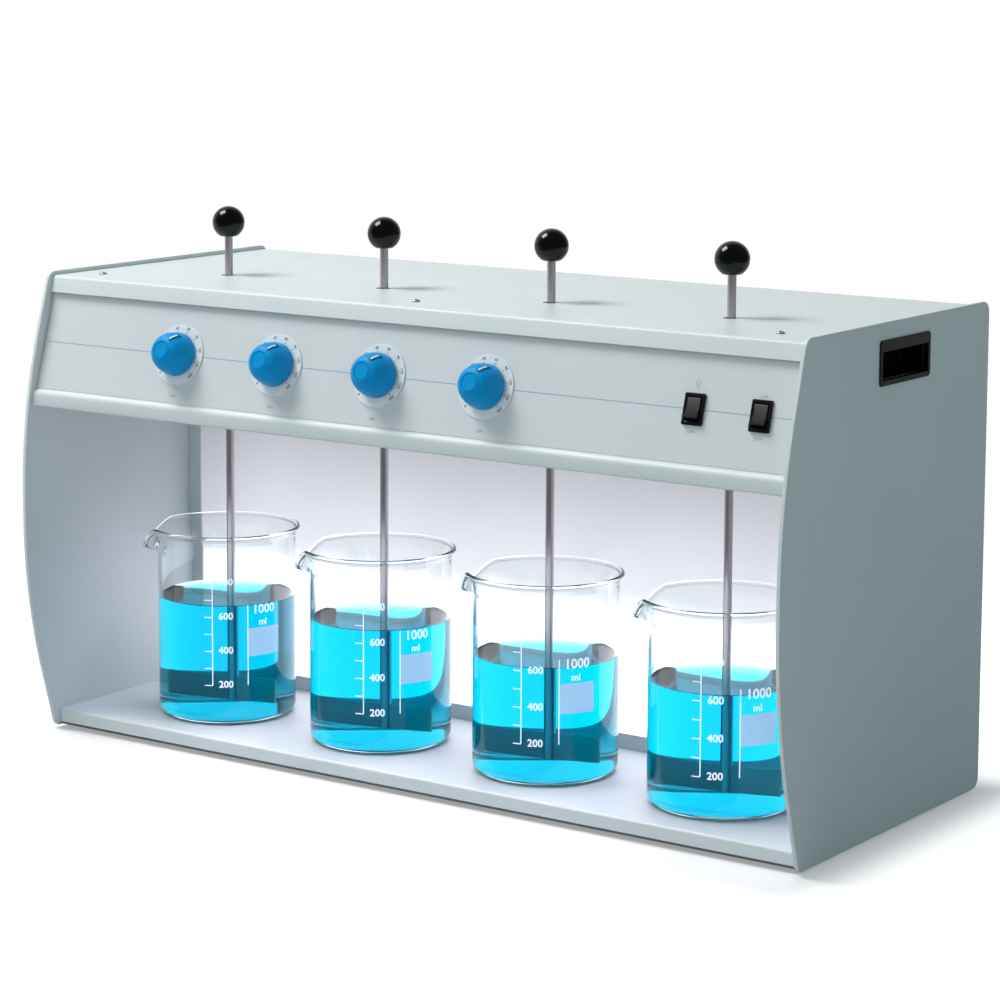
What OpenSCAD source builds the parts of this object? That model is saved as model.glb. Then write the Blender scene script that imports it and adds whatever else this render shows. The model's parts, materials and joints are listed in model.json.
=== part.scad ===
// Bench jar tester with four stirring places, a backlit jar bay and four glass beakers.
// Origin: centre of the footprint on the bench. +X is to the right, -Y is the front, +Z is up.
// All lengths are in millimetres.

/* [Body] */
// Width over the two side panels
body_w = 645; // [600:5:760]
// Depth from the bulge of the side panels to their rear edge
body_d = 283; // [276:1:330]
// Height of the side panels' top edge above the bench
body_h = 347; // [340:1:370]
// Gap between the bench and the side panels
foot_gap = 2.5; // [2:0.5:4]
// Thickness of a side panel
side_t = 3; // [2:0.5:5]
// Thickness of the folded sheet
sheet_t = 1.5; // [1:0.1:2]
// Lean of the side panels' straight front edges
front_lean = 16; // [15:0.5:18]
// How far the front corners lie behind the bulge
front_setback = 34; // [30:1:38]
// Radius of the rear corners of the side panels
corner_r = 8; // [3:1:14]
// How far the rear sheets lie inside the side panels' rear edge
rear_inset = 2; // [1:0.5:4]
// Outer radius of the sheet bends
bend_r = 3; // [2.2:0.2:5]

/* [Top cover] */
// How far the cover's top lies below the side panels' top edge
cover_drop = 3; // [2:0.5:5]
// Height of the cover's front lip
cover_lip = 12; // [9:0.5:15]
// Height of the cover's rear lip
rear_lip = 14; // [12:1:18]
// Diameter of the four rod holes in the cover
rod_hole_d = 11.6; // [9:0.2:16]

/* [Front panel] */
// How far the panel lies behind the side panels' front edges, along Y
fascia_inset = 3.5; // [3:0.5:6]
// Thickness of the printed overlay film
overlay_t = 0.4; // [0.3:0.1:0.8]
// Width of the fascia's top and bottom flanges
fascia_flange = 36; // [30:1:42]
// How far the front rail's top lies below the side panels' top edge
rail_drop = 85; // [82:0.5:88]
// How far the front rail stands out in front of the fascia
rail_reach = 7; // [5:0.5:9]
// Radius of the front rail's upper nose
rail_r = 4.5; // [3:0.5:5]
// How far the mechanism housing's underside lies below the side panels' top edge
housing_drop = 98; // [95:0.5:102]

/* [Jar bay] */
// Height of the base tray's top
base_top = 15; // [12:0.5:18]
// Thickness of the plate under the base tray
bottom_t = 1.5; // [1:0.1:2.5]
// Height of the feet
foot_h = 3.5; // [3:0.25:5]
// Diameter of the feet
foot_d = 24; // [16:1:32]
// Distance of the foot centres from the base plate's edges
foot_in = 26; // [18:1:40]
// Depth of the space behind the front of the lit rear wall
rear_space = 98; // [93:0.5:101]
// Width of the frame around the diffuser
frame_w = 11; // [9:0.5:15]
// Thickness of the opal diffuser
diffuser_t = 3; // [2:0.5:4]
// How far the light box reaches behind the diffuser
light_depth = 55; // [50:1:60]
// Diameter of the lamp tube
lamp_d = 26; // [16:1:28]

/* [Stirrers] */
// Distance between neighbouring stirring rods
place_pitch = 144.8; // [140:0.2:160]
// Position of the rods along Y
rod_y = -28.5; // [-31:0.5:-26]
// Diameter of a stirring rod
rod_d = 6; // [5:0.25:7]
// Diameter of the ball knob on top of a rod
ball_d = 24; // [20:0.5:28]
// How far the ball knobs' centres stand above the side panels' top edge
ball_rise = 36.4; // [33:0.2:50]
// Height of the flat under the ball knob above the ball's lowest point
ball_flat = 1.6; // [1:0.1:2.5]
// Width of a paddle
paddle_w = 72; // [60:1:74]
// Height of a paddle
paddle_h = 18; // [15:1:25]
// Thickness of a paddle
paddle_t = 1.5; // [1:0.1:2]
// Gap between the paddle and the beaker's inner floor
paddle_gap = 6.5; // [6:0.5:9]
// Outer diameter of the hollow spindle
spindle_d = 11; // [10.5:0.25:12]
// Diameter of the collars on the spindle
collar_d = 16; // [14:0.5:18]
// Radial running clearance of shafts in their bores
run_fit = 0.05; // [0.02:0.01:0.09]

/* [Drive] */
// Outer diameter of a spindle bearing
bearing_d = 22; // [20:0.5:24]
// Height of a spindle bearing
bearing_h = 7; // [5:0.5:8]
// Width of a gearbox
gearbox_w = 46; // [40:1:60]
// Height of a gearbox
gearbox_h = 26; // [22:1:27]
// Reach of a gearbox in front of its spindle
gearbox_front = 20; // [16:0.5:22]
// Reach of a gearbox behind its spindle
gearbox_rear = 42; // [34:1:46]
// Diameter of a drive motor
motor_d = 34; // [28:1:36]
// Length of a drive motor
motor_l = 46; // [36:1:56]
// Height of the motor bracket above the housing floor
bracket_h = 35; // [32:0.5:36]

/* [Dials and switches] */
// Distance from the panel's left end to the first dial
dial_in = 131.3; // [125:0.1:140]
// Distance between neighbouring dials
dial_spacing = 90; // [80:1:95]
// How far the dial centres lie below the side panels' top edge
dial_drop = 51.1; // [48:0.1:53]
// Diameter of a dial plate
dial_d = 44; // [41:0.5:48]
// Thickness of a dial plate
dial_t = 1; // [0.6:0.1:1.5]
// Diameter of a speed knob's skirt
knob_d = 31.4; // [29:0.2:36]
// Diameter of a speed knob's cap
knob_cap_d = 15.2; // [14:0.2:17]
// Height of a speed knob's face above the panel
knob_h = 21.2; // [19:0.2:24]
// Gap between a knob and its dial plate
knob_gap = 1; // [0.6:0.1:1.5]
// Direction of a knob's pointer at rest, clockwise from straight up
knob_turn = 30; // [-135:15:135]
// Diameter of a selector shaft
shaft_d = 6; // [5:0.25:6.5]
// Diameter of a selector's threaded bush
bush_d = 9.2; // [8.6:0.1:10]
// Width of a selector's body
selector_w = 24; // [20:1:28]
// Depth of a selector's body behind the overlay
selector_depth = 17; // [15:0.5:20]
// Distance from the last switch to the panel's right end
switch_in = 25.5; // [20:0.5:30]
// Distance between the two switches
switch_spacing = 49.5; // [30:0.5:52]
// Width of a switch bezel
bezel_w = 15; // [14:0.25:18]
// Height of a switch bezel
bezel_h = 21; // [19:0.25:24]
// Thickness of a switch bezel
bezel_t = 2; // [1.5:0.1:2.5]
// Width of a rocker
rocker_w = 10; // [8:0.25:11]
// Tilt of a rocker each way from its middle position
rocker_tilt = 10; // [7:0.5:12]

/* [Carry handles] */
// Length of a carry handle's bezel
handle_l = 70.5; // [62:0.5:80]
// Height of a carry handle's bezel
handle_h = 30.4; // [28:0.4:33]
// Height of the bezel's centre below the side panels' top edge
handle_drop = 26.7; // [22:0.1:28]
// Position of the bezel's centre along Y
handle_y = 17.5; // [10:0.5:30]
// Depth of the finger recess
handle_depth = 21; // [16:0.5:24]

/* [Beakers] */
// Outer diameter of a beaker's wall
beaker_d = 102.6; // [100:0.2:106]
// Height of a beaker
beaker_h = 142; // [135:1:150]
// Thickness of the glass
glass_t = 2; // [1.6:0.1:2.6]
// Diameter over a beaker's rolled rim
rim_d = 109.6; // [108:0.2:113]
// Radius of a beaker's bottom edge
beaker_r = 8; // [5:0.5:12]
// Offset of a beaker from its rod along X
beaker_dx = 2; // [-3:0.5:3]
// Offset of a beaker from its rod along Y
beaker_dy = -7; // [-7:0.5:3]
// Direction of each beaker's spout, measured from +X
spout_turns = [208, 204, 194, 197]; // [180:1:225]
// Reach of a spout's tip beyond the rim
spout_reach = 9.5; // [6:0.5:12]
// How far a spout's tip dips below the rim
spout_dip = 16.5; // [10:0.5:18]
// Height of the stretch of wall that a spout is drawn from
spout_h = 36; // [34:1:42]
// Half the angle over which the rim dips into a spout
spout_spread = 28; // [24:1:40]

/* [Supply and inlet] */
// Width of the supply unit
supply_w = 160; // [120:5:180]
// Height of the supply unit
supply_h = 98; // [70:1:110]
// Left end of the supply unit along X
supply_x = -270; // [-290:5:-240]
// Length of the lamp's ballast
ballast_l = 160; // [120:5:200]
// Position of the mains inlet along X
inlet_x = 240; // [200:5:270]
// Height of the mains inlet's centre
inlet_z = 62; // [50:1:90]

/* [Hidden] */
$fn = 96;
// Smallest overlap of joined shapes, and the gap under a beaker that only stands on the tray
eps = 0.02;
// Clearance of loose fits, such as a plate in a cut-out
clear = 0.3;
side_x = body_w / 2;
in_x = side_x - side_t;
front_y = -body_d / 2;
rear_y = body_d / 2;
mid_z = (body_h + foot_gap) / 2;
half_h = (body_h - foot_gap) / 2;
corner_y = front_y + front_setback;
vertex_y = corner_y - half_h * tan(front_lean);
bow_r = (front_y - vertex_y) / (1 / cos(front_lean) - 1);
cover_z = body_h - cover_drop;
cover_rear = rear_y - rear_inset;
back_y = cover_rear - sheet_t;
fascia_dy = overlay_t / cos(front_lean);
rail_top = body_h - rail_drop;
housing_z = body_h - housing_drop;
bay_rear = rear_y - rear_space;
ball_z = body_h + ball_rise;
dial_z = body_h - dial_drop;
floor_top = housing_z + sheet_t;
lip_z = cover_z - cover_lip;
fascia_top = cover_z - sheet_t;
overlay_top = fascia_top - bend_r - 2;
base_front = corner_y;
plate_z = foot_h + bottom_t;
beaker_floor = base_top + glass_t + 1.2;
rim_top = base_top + beaker_h;
rim_bead = 1.5;
rim_flare = 9;
paddle_z = beaker_floor + paddle_gap;
bracket_top = floor_top + bracket_h;
gearbox_top = bracket_top + gearbox_h;
spindle_low = housing_z - 11;
collar_h = 5;
spindle_top = gearbox_top + 24;
knob_cap_t = 5;
// Share of a knob's flank that follows a quarter of an ellipse; the rest is a cone
knob_bow = 0.83;
fin_h = 0.8;
fin_w = 2.4;
ball_r = ball_d / 2;
places = [for (i = [0:3]) (i - 1.5) * place_pitch];
dials = [for (i = [0:3]) dial_in - in_x + i * dial_spacing];
switches = [in_x - switch_in - switch_spacing, in_x - switch_in];
diffuser_y = bay_rear + sheet_t;
box_y = diffuser_y + diffuser_t;
frame_top = housing_z;
handle_z = body_h - handle_drop;
// Walls of the handle: bezel plate, its lap over the cut-out, cup wall, and the hood
bezel_proud = 1.2;
bezel_lap = 2;
cup_wall = 1.6;
handle_edge = 3.5;
hood_h = 8;
lamp_y = box_y + 30;
lamp_z = (base_top + housing_z) / 2;
holder_t = 16.5;
holder_h = 50;
screw_d = 3;
screw_head_d = 6;
screw_head_h = 1.6;
cover_screw_x = [-295, -5, 285];
cover_screw_y = corner_y + 26.5;
rear_screw_x = [-in_x + 30, 0, in_x - 30];
rocker_z = -0.5;
rocker_pin_d = 2.4;
inlet_w = 50;
inlet_h = 33;
inlet_body = 28;
inlet_depth = 24;
socket_depth = 18;
flange_t = 2;
drawer_w = 24;
drawer_h = 6.4;
drawer_l = 17;
drawer_z = -12.6;
fuse_d = 5;
fuse_l = 20;
steel = [0.75, 0.76, 0.77];
paint = [0.86, 0.88, 0.89];
shade = [0.73, 0.76, 0.78];
black = [0.06, 0.06, 0.07];
blue = [0.0, 0.5, 0.8];

// ---------- helpers ----------

// Front edge of the side panels: two straight stretches joined by a bow
function edge_line(z) = corner_y - (body_h - z) * tan(front_lean);
// Front face of the overlay and of the sheet behind it
function overlay_y(z) = edge_line(z) + fascia_inset;
function fascia_y(z) = overlay_y(z) + fascia_dy;

function unit(v) = v / norm(v);
function left_of(v) = [-v[1], v[0]];
// Points of an arc that rounds the corner b between a and c
function round_corner(a, b, c, r, n = 5) =
    let (u = unit(a - b), v = unit(c - b))
    let (half = acos(max(-1, min(1, u * v))) / 2)
    let (centre = b + unit(u + v) * r / sin(half))
    let (p = b + u * r / tan(half), q = b + v * r / tan(half))
    let (a0 = atan2(p[1] - centre[1], p[0] - centre[0]))
    let (a1 = atan2(q[1] - centre[1], q[0] - centre[0]))
    let (turn = a1 - a0 > 180 ? a1 - a0 - 360 : a1 - a0 < -180 ? a1 - a0 + 360 : a1 - a0)
    [for (i = [0:n]) centre + r * [cos(a0 + turn * i / n), sin(a0 + turn * i / n)]];
// A line of points with every inner corner rounded
function rounded_line(pts, r) = concat([pts[0]],
    [for (i = [1:len(pts) - 2]) each round_corner(pts[i - 1], pts[i], pts[i + 1], r)],
    [pts[len(pts) - 1]]);
// The same line moved sideways by the sheet's thickness
function moved_line(pts, t) = [for (i = [0:len(pts) - 1])
    let (before = i == 0 ? pts[1] - pts[0] : pts[i] - pts[i - 1])
    let (after = i == len(pts) - 1 ? before : pts[i + 1] - pts[i])
    let (n1 = left_of(unit(before)), n2 = left_of(unit(after)))
    pts[i] + (n1 + n2) * t / (1 + n1 * n2)];
function backwards(list) = [for (i = [len(list) - 1:-1:0]) list[i]];
// Outline of a folded sheet whose outer face follows the points; t is positive to the left
function sheet(pts, r, t) =
    let (line = rounded_line(pts, r))
    concat(line, backwards(moved_line(line, t)));

// Extrudes a (y, z) outline from x0 to x1
module along_x(x0, x1) {
    translate([x0, 0, 0])
        rotate([90, 0, 90])
            linear_extrude(x1 - x0)
                children();
}

// Box given by its two opposite corners
module box(a, b) {
    translate(a)
        cube(b - a);
}

// Tube or bored disc standing on z = 0
module ring(d, bore, h) {
    difference() {
        cylinder(d = d, h = h);
        translate([0, 0, -1])
            cylinder(d = bore, h = h + 2);
    }
}

// Local frame on the overlay: +Z out of the panel, +Y up along it
module on_panel(x, z = dial_z) {
    translate([x, overlay_y(z), z])
        rotate([90 - front_lean, 0, 0])
            children();
}

// Local frame of a stirring place
module at_place(i) {
    translate([places[i], rod_y, 0])
        children();
}

// Bar of the given size whose four edges along Z have radius r
module rounded_bar(w, h, t, r) {
    linear_extrude(t)
        union() {
            square([w - 2 * r, h], center = true);
            square([w, h - 2 * r], center = true);
            for (sx = [-1, 1], sy = [-1, 1])
                translate([sx * (w / 2 - r), sy * (h / 2 - r)])
                    circle(r = r, $fn = 32);
        }
}

// ---------- body ----------

// Piece that trims a square corner at p to a radius; sy and sz point out of the corner
module corner_trim(p, sy, sz, r) {
    translate(p)
        difference() {
            translate([sy > 0 ? -r : -1, sz > 0 ? -r : -1])
                square(r + 1);
            translate([-sy * r, -sz * r])
                circle(r = r);
        }
}

module side_outline() {
    difference() {
        intersection() {
            polygon([[rear_y, foot_gap], [rear_y, body_h], [corner_y, body_h],
                [vertex_y, mid_z], [corner_y, foot_gap]]);
            translate([front_y + bow_r, mid_z])
                circle(r = bow_r, $fn = 240);
        }
        corner_trim([rear_y, body_h], 1, 1, corner_r);
        corner_trim([rear_y, foot_gap], 1, -1, corner_r);
    }
}

// One side panel, for the right side; the cut-out takes the handle's cup
module side_panel() {
    color(paint)
        difference() {
            along_x(in_x, side_x)
                side_outline();
            translate([side_x, handle_y, handle_z])
                cube([4 * side_t, handle_l - 2 * bezel_lap, handle_h - 2 * bezel_lap], center = true);
        }
}

// Flush carry handle for the right side: a bezel, a deep cup and a hood over its top
module carry_handle() {
    cup_l = handle_l - 2 * bezel_lap - 2 * clear;
    cup_h = handle_h - 2 * bezel_lap - 2 * clear;
    open_l = handle_l - 2 * handle_edge;
    color(black)
        translate([side_x, handle_y, handle_z])
            difference() {
                union() {
                    rotate([90, 0, 90])
                        rounded_bar(handle_l, handle_h, bezel_proud, 3);
                    box([-handle_depth, -cup_l / 2, -cup_h / 2], [eps, cup_l / 2, cup_h / 2]);
                }
                // mouth of the recess, below the hood
                box([-side_t, -open_l / 2, -handle_h / 2 + handle_edge],
                    [bezel_proud + 1, open_l / 2, handle_h / 2 - hood_h]);
                // recess, which runs up behind the hood
                box([cup_wall - handle_depth, cup_wall - cup_l / 2, cup_wall - cup_h / 2],
                    [-side_t + eps, cup_l / 2 - cup_wall, cup_h / 2 - cup_wall]);
            }
}

module top_cover() {
    rear_low = cover_z - rear_lip;
    path = [[edge_line(lip_z), lip_z], [edge_line(cover_z), cover_z],
        [cover_rear, cover_z], [cover_rear, rear_low]];
    color(paint)
        difference() {
            along_x(-in_x, in_x)
                polygon(sheet(path, bend_r, -sheet_t));
            for (i = [0:3])
                at_place(i)
                    translate([0, 0, cover_z - 2 * sheet_t])
                        cylinder(d = rod_hole_d, h = 3 * sheet_t);
            for (x = cover_screw_x)
                translate([x, cover_screw_y, cover_z - 2 * sheet_t])
                    cylinder(d = screw_d + 2 * clear, h = 3 * sheet_t, $fn = 32);
            for (x = rear_screw_x)
                translate([x, cover_rear + 1, cover_z - rear_lip / 2])
                    rotate([90, 0, 0])
                        cylinder(d = screw_d + 2 * clear, h = 3 * sheet_t, $fn = 32);
        }
}

// Fascia sheet with a flange under the cover and another on the housing floor
module control_panel() {
    path = [[fascia_y(fascia_top) + fascia_flange, fascia_top], [fascia_y(fascia_top), fascia_top],
        [fascia_y(floor_top), floor_top], [fascia_y(floor_top) + fascia_flange, floor_top]];
    color(shade)
        difference() {
            along_x(-in_x, in_x)
                polygon(sheet(path, bend_r, sheet_t));
            panel_holes();
            for (x = cover_screw_x)
                translate([x, cover_screw_y, fascia_top - 2 * sheet_t])
                    cylinder(d = screw_d + 2 * clear, h = 3 * sheet_t, $fn = 32);
        }
}

// Holes for the selector bushes and the switch bodies
module panel_holes() {
    for (x = dials)
        on_panel(x)
            translate([0, 0, -10])
                cylinder(d = bush_d + 2 * clear, h = 20);
    for (x = switches)
        on_panel(x)
            cube([bezel_w - 2 + 2 * clear, bezel_h - 1.5 + 2 * clear, 20], center = true);
}

module panel_overlay() {
    low = rail_top + 0.2;
    color(shade)
        difference() {
            along_x(-in_x + 0.5, in_x - 0.5)
                polygon([[overlay_y(low), low], [overlay_y(overlay_top), overlay_top],
                    [fascia_y(overlay_top), overlay_top], [fascia_y(low), low]]);
            panel_holes();
        }
}

// Nosing below the fascia, with a rounded upper nose
module front_rail() {
    nose_y = fascia_y(rail_top) - rail_reach;
    back_top = [fascia_y(rail_top), rail_top];
    back_low = [fascia_y(floor_top + bend_r), floor_top + bend_r];
    top_edge = [nose_y, rail_top - 1];
    low_edge = [nose_y, housing_z];
    color(paint)
        along_x(-in_x, in_x)
            polygon(concat([back_low, back_top],
                round_corner(back_top, top_edge, low_edge, rail_r),
                round_corner(top_edge, low_edge, [0, housing_z], 1.5),
                [[fascia_y(floor_top) - eps, housing_z], [fascia_y(floor_top) - eps, floor_top]]));
}

module mechanism_floor() {
    color(paint)
        difference() {
            box([-in_x, fascia_y(floor_top), housing_z], [in_x, back_y - sheet_t, floor_top]);
            for (i = [0:3])
                at_place(i)
                    translate([0, 0, housing_z - 1])
                        cylinder(d = collar_d + 4, h = sheet_t + 2);
        }
}

// Low bridge that carries the gearmotors over the housing floor
module motor_bracket() {
    y0 = rod_y - gearbox_front - 3;
    y1 = rod_y + gearbox_rear - 3;
    foot = 12;
    low = floor_top + sheet_t;
    path = [[y0 - foot, low], [y0, low], [y0, bracket_top], [y1, bracket_top],
        [y1, low], [y1 + foot, low]];
    color(steel)
        difference() {
            along_x(-in_x + 15, in_x - 15)
                polygon(sheet(path, 2.2, -sheet_t));
            for (i = [0:3])
                at_place(i)
                    translate([0, 0, bracket_top - 2 * sheet_t])
                        cylinder(d = collar_d, h = 3 * sheet_t);
        }
}

module base_tray() {
    path = [[base_front, plate_z], [base_front, base_top],
        [back_y - sheet_t, base_top], [back_y - sheet_t, plate_z]];
    color(paint)
        along_x(-in_x, in_x)
            polygon(sheet(path, bend_r - 0.8, -sheet_t));
}

module bottom_plate() {
    color(steel)
        box([-in_x, base_front, foot_h], [in_x, back_y - sheet_t, plate_z]);
}

module feet() {
    color(black)
        for (sx = [-1, 1], y = [base_front + foot_in, back_y - foot_in])
            translate([sx * (in_x - foot_in), y, 0])
                cylinder(d1 = foot_d - 3, d2 = foot_d, h = foot_h);
}

module rear_cover() {
    slot_w = 3;
    slot_l = 46;
    slot_spacing = 12;
    field_x = in_x - 139.5;
    high_z = cover_z - 59;
    low_z = high_z - 2 * slot_l - slot_w;
    color(paint)
        difference() {
            box([-in_x, back_y - sheet_t, plate_z], [in_x, back_y, cover_z - bend_r - clear]);
            // two fields of ventilation slots
            for (x = [-field_x, field_x], i = [-5:5], z = [low_z, high_z])
                translate([x + slot_spacing * i, back_y, z])
                    cube([slot_w, 4 * sheet_t, slot_l], center = true);
            translate([inlet_x, back_y, inlet_z])
                cube([inlet_body + 2 * clear, 10, inlet_body + 2 * clear], center = true);
            for (x = rear_screw_x, z = [cover_z - rear_lip / 2, (plate_z + base_top - sheet_t) / 2])
                translate([x, back_y + 1, z])
                    rotate([90, 0, 0])
                        cylinder(d = screw_d + 2 * clear, h = 3 * sheet_t, $fn = 32);
        }
}

// ---------- light box ----------

// Folded frame around the diffuser, with a flange on the tray and one under the housing
module light_frame() {
    flange = 14;
    color(paint)
        difference() {
            along_x(-in_x, in_x)
                polygon([[bay_rear, base_top], [bay_rear, frame_top], [bay_rear + flange, frame_top],
                    [bay_rear + flange, frame_top - sheet_t], [diffuser_y, frame_top - sheet_t],
                    [diffuser_y, base_top + sheet_t], [bay_rear + flange, base_top + sheet_t],
                    [bay_rear + flange, base_top]]);
            box([-in_x + frame_w, bay_rear - 1, base_top + frame_w],
                [in_x - frame_w, diffuser_y + 1, frame_top - frame_w]);
        }
}

module diffuser_panel() {
    color([0.95, 0.95, 0.98])
        box([-in_x + 1, diffuser_y, base_top + sheet_t + clear],
            [in_x - 1, box_y, frame_top - sheet_t - clear]);
}

// White trough behind the lamp; its flanges lie on the diffuser's back
module reflector() {
    flange = 9;
    low = base_top + sheet_t + 1;
    high = frame_top - sheet_t - 1;
    depth_y = box_y + light_depth;
    path = [[box_y, high], [box_y, high - flange], [depth_y, high - flange - 14],
        [depth_y, low + flange + 14], [box_y, low + flange], [box_y, low]];
    color("white")
        along_x(-in_x + 0.5, in_x - 0.5)
            polygon(sheet(path, bend_r, sheet_t));
}

// Straight lamp tube with a metal cap and two pins at each end
module lamp_tube() {
    glass_x = in_x - holder_t - 7;
    color([0.97, 0.97, 1])
        translate([-glass_x, lamp_y, lamp_z])
            rotate([0, 90, 0])
                cylinder(d = lamp_d, h = 2 * glass_x);
    color(steel)
        for (sx = [-1, 1])
            translate([sx * glass_x, lamp_y, lamp_z])
                rotate([0, sx * 90, 0]) {
                    cylinder(d = lamp_d - 0.6, h = 6);
                    for (sy = [-1, 1])
                        translate([0, sy * 6.35, 5])
                            cylinder(d = 2.4, h = 2, $fn = 24);
                }
}

// Two lampholders between the reflector and the side panels
module lamp_holders() {
    color("white")
        for (sx = [-1, 1])
            translate([sx * (in_x - holder_t / 2), 0, 0])
                box([-holder_t / 2, lamp_y - lamp_d / 2, lamp_z - holder_h / 2],
                    [holder_t / 2, box_y + light_depth, lamp_z + holder_h / 2]);
}

module ballast() {
    front = box_y + light_depth + sheet_t;
    depth = 22;
    height = 28;
    color(steel)
        translate([0, front + depth / 2, lamp_z + height])
            difference() {
                cube([ballast_l, depth, height], center = true);
                for (sx = [-1, 1])
                    translate([sx * (ballast_l / 2 - 6), 0, 0])
                        rotate([90, 0, 0])
                            cylinder(d = 4.5, h = depth + 2, center = true, $fn = 32);
            }
}

// Closed supply unit on the base tray, with cooling slots in its lid
module power_supply() {
    front = box_y + light_depth + sheet_t;
    rear = back_y - sheet_t;
    top = base_top + supply_h;
    slot_pitch = 12;
    slot_w = 6;
    slots = floor((supply_w - 30) / slot_pitch);
    color(steel)
        difference() {
            box([supply_x, front, base_top], [supply_x + supply_w, rear, top]);
            translate([supply_x + supply_w / 2, (front + rear) / 2, top])
                for (i = [0:slots - 1])
                    translate([(i - (slots - 1) / 2) * slot_pitch, 0, 0])
                        cube([slot_w, rear - front - 12, 4], center = true);
        }
}

// ---------- electronics behind the fascia ----------

// Rotary selectors, each with a threaded bush through the panel and a nut on the dial plate
module speed_selectors() {
    back = -overlay_t - sheet_t;
    end_wall = 2;
    color([0.2, 0.2, 0.22])
        for (x = dials)
            on_panel(x)
                difference() {
                    union() {
                        translate([-selector_w / 2, -selector_w / 2, -selector_depth])
                            cube([selector_w, selector_w, selector_depth + back]);
                        translate([0, 0, back - eps])
                            cylinder(d = bush_d, h = -back + dial_t + 4);
                        translate([0, 0, dial_t])
                            cylinder(d = bush_d + 5.5, h = 2, $fn = 6);
                    }
                    translate([0, 0, end_wall - selector_depth])
                        cylinder(d = shaft_d + 2 * run_fit, h = 2 * selector_depth);
                }
}

// Board across the selectors' backs, with one driver block behind each of them
module control_board() {
    board_t = 1.6;
    margin = 40;
    block = [24, 16, 9];
    color([0.05, 0.35, 0.2])
        on_panel(0) {
            box([dials[0] - margin, -selector_w, -selector_depth - board_t],
                [dials[3] + margin, selector_w, -selector_depth]);
            for (x = dials)
                translate([x - block[0] / 2, -block[1] / 2, -selector_depth - board_t - block[2] + eps])
                    cube(block);
        }
}

module dial_plates() {
    color("white")
        for (x = dials)
            on_panel(x)
                ring(dial_d, bush_d + 2 * clear, dial_t);
}

module selector_shaft(i) {
    color(steel)
        on_panel(dials[i])
            translate([0, 0, 2 + clear - selector_depth])
                cylinder(d = shaft_d, h = selector_depth - 2 - clear + knob_h - knob_cap_t);
}

// Point of a knob's bowed flank, as [radius, height]: 0 is the skirt, 90 is the cap
knob_skirt = dial_t + knob_gap + 2;
function flank(a) =
    let (out = knob_bow * cos(a) + (1 - knob_bow) * (1 - a / 90))
    let (up = knob_bow * sin(a) + (1 - knob_bow) * a / 90)
    [knob_cap_d / 2 + (knob_d - knob_cap_d) / 2 * out, knob_skirt + (knob_h - knob_skirt) * up];

// Domed knob: skirt, bowed flank, flat cap with a ring groove, and a short pointer fin
module speed_knob(i) {
    base = dial_t + knob_gap;
    recess_r = bush_d / 2 + 4;
    recess_z = dial_t + 5;
    groove_r = knob_cap_d / 2 - 1.9;
    groove_w = 0.8;
    groove_h = 0.5;
    color(blue)
        on_panel(dials[i])
            rotate([0, 0, -knob_turn]) {
                rotate_extrude()
                    polygon(concat([[recess_r, base], [knob_d / 2, base]], [for (k = [0:8]) flank(k * 90 / 8)],
                        [[groove_r + groove_w, knob_h], [groove_r + 0.75 * groove_w, knob_h - groove_h],
                         [groove_r + 0.25 * groove_w, knob_h - groove_h], [groove_r, knob_h], [0, knob_h],
                         [0, knob_h - knob_cap_t], [shaft_d / 2, knob_h - knob_cap_t],
                         [shaft_d / 2, recess_z], [recess_r, recess_z]]));
                // pointer fin, which follows the flank
                rotate([90, 0, 90])
                    translate([0, 0, -fin_w / 2])
                        linear_extrude(fin_w)
                            polygon(concat([flank(76) - [0, 2.4]],
                                [for (a = [76:-12:28]) flank(a) + fin_h * [cos(a), sin(a)]],
                                [flank(28) - [1.8, 0]]));
            }
}

// ---------- switches ----------

module switch_housings() {
    body_l = bezel_w - 2;
    body_h = bezel_h - 1.5;
    body_depth = 18;
    color(black)
        for (x = switches)
            on_panel(x)
                difference() {
                    union() {
                        rounded_bar(bezel_w, bezel_h, bezel_t, 1.2);
                        box([-body_l / 2, -body_h / 2, -body_depth], [body_l / 2, body_h / 2, eps]);
                    }
                    box([-rocker_w / 2 - clear, -8, -9], [rocker_w / 2 + clear, 8, bezel_t + 1]);
                    translate([0, 0, rocker_z])
                        rotate([0, 90, 0])
                            cylinder(d = rocker_pin_d + 2 * run_fit, h = rocker_w + 2.4,
                                center = true, $fn = 32);
                }
}

// Rocker with two shallow faces, a pin at its middle and a rounded underside
module rocker(x) {
    color(black)
        on_panel(x)
            translate([0, 0, rocker_z])
                rotate([-rocker_tilt, 0, 0]) {
                    along_x(-rocker_w / 2, rocker_w / 2)
                        polygon([[-6.9, -1], [-6.9, 4.1], [-6.3, 4.3], [0, 3], [6.3, 4.3],
                            [6.9, 4.1], [6.9, -1], [4.4, -5], [-4.4, -5]]);
                    rotate([0, 90, 0])
                        cylinder(d = rocker_pin_d, h = rocker_w + 2.4 - 2 * clear, center = true, $fn = 32);
                }
}

// ---------- rear inlet ----------

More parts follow.
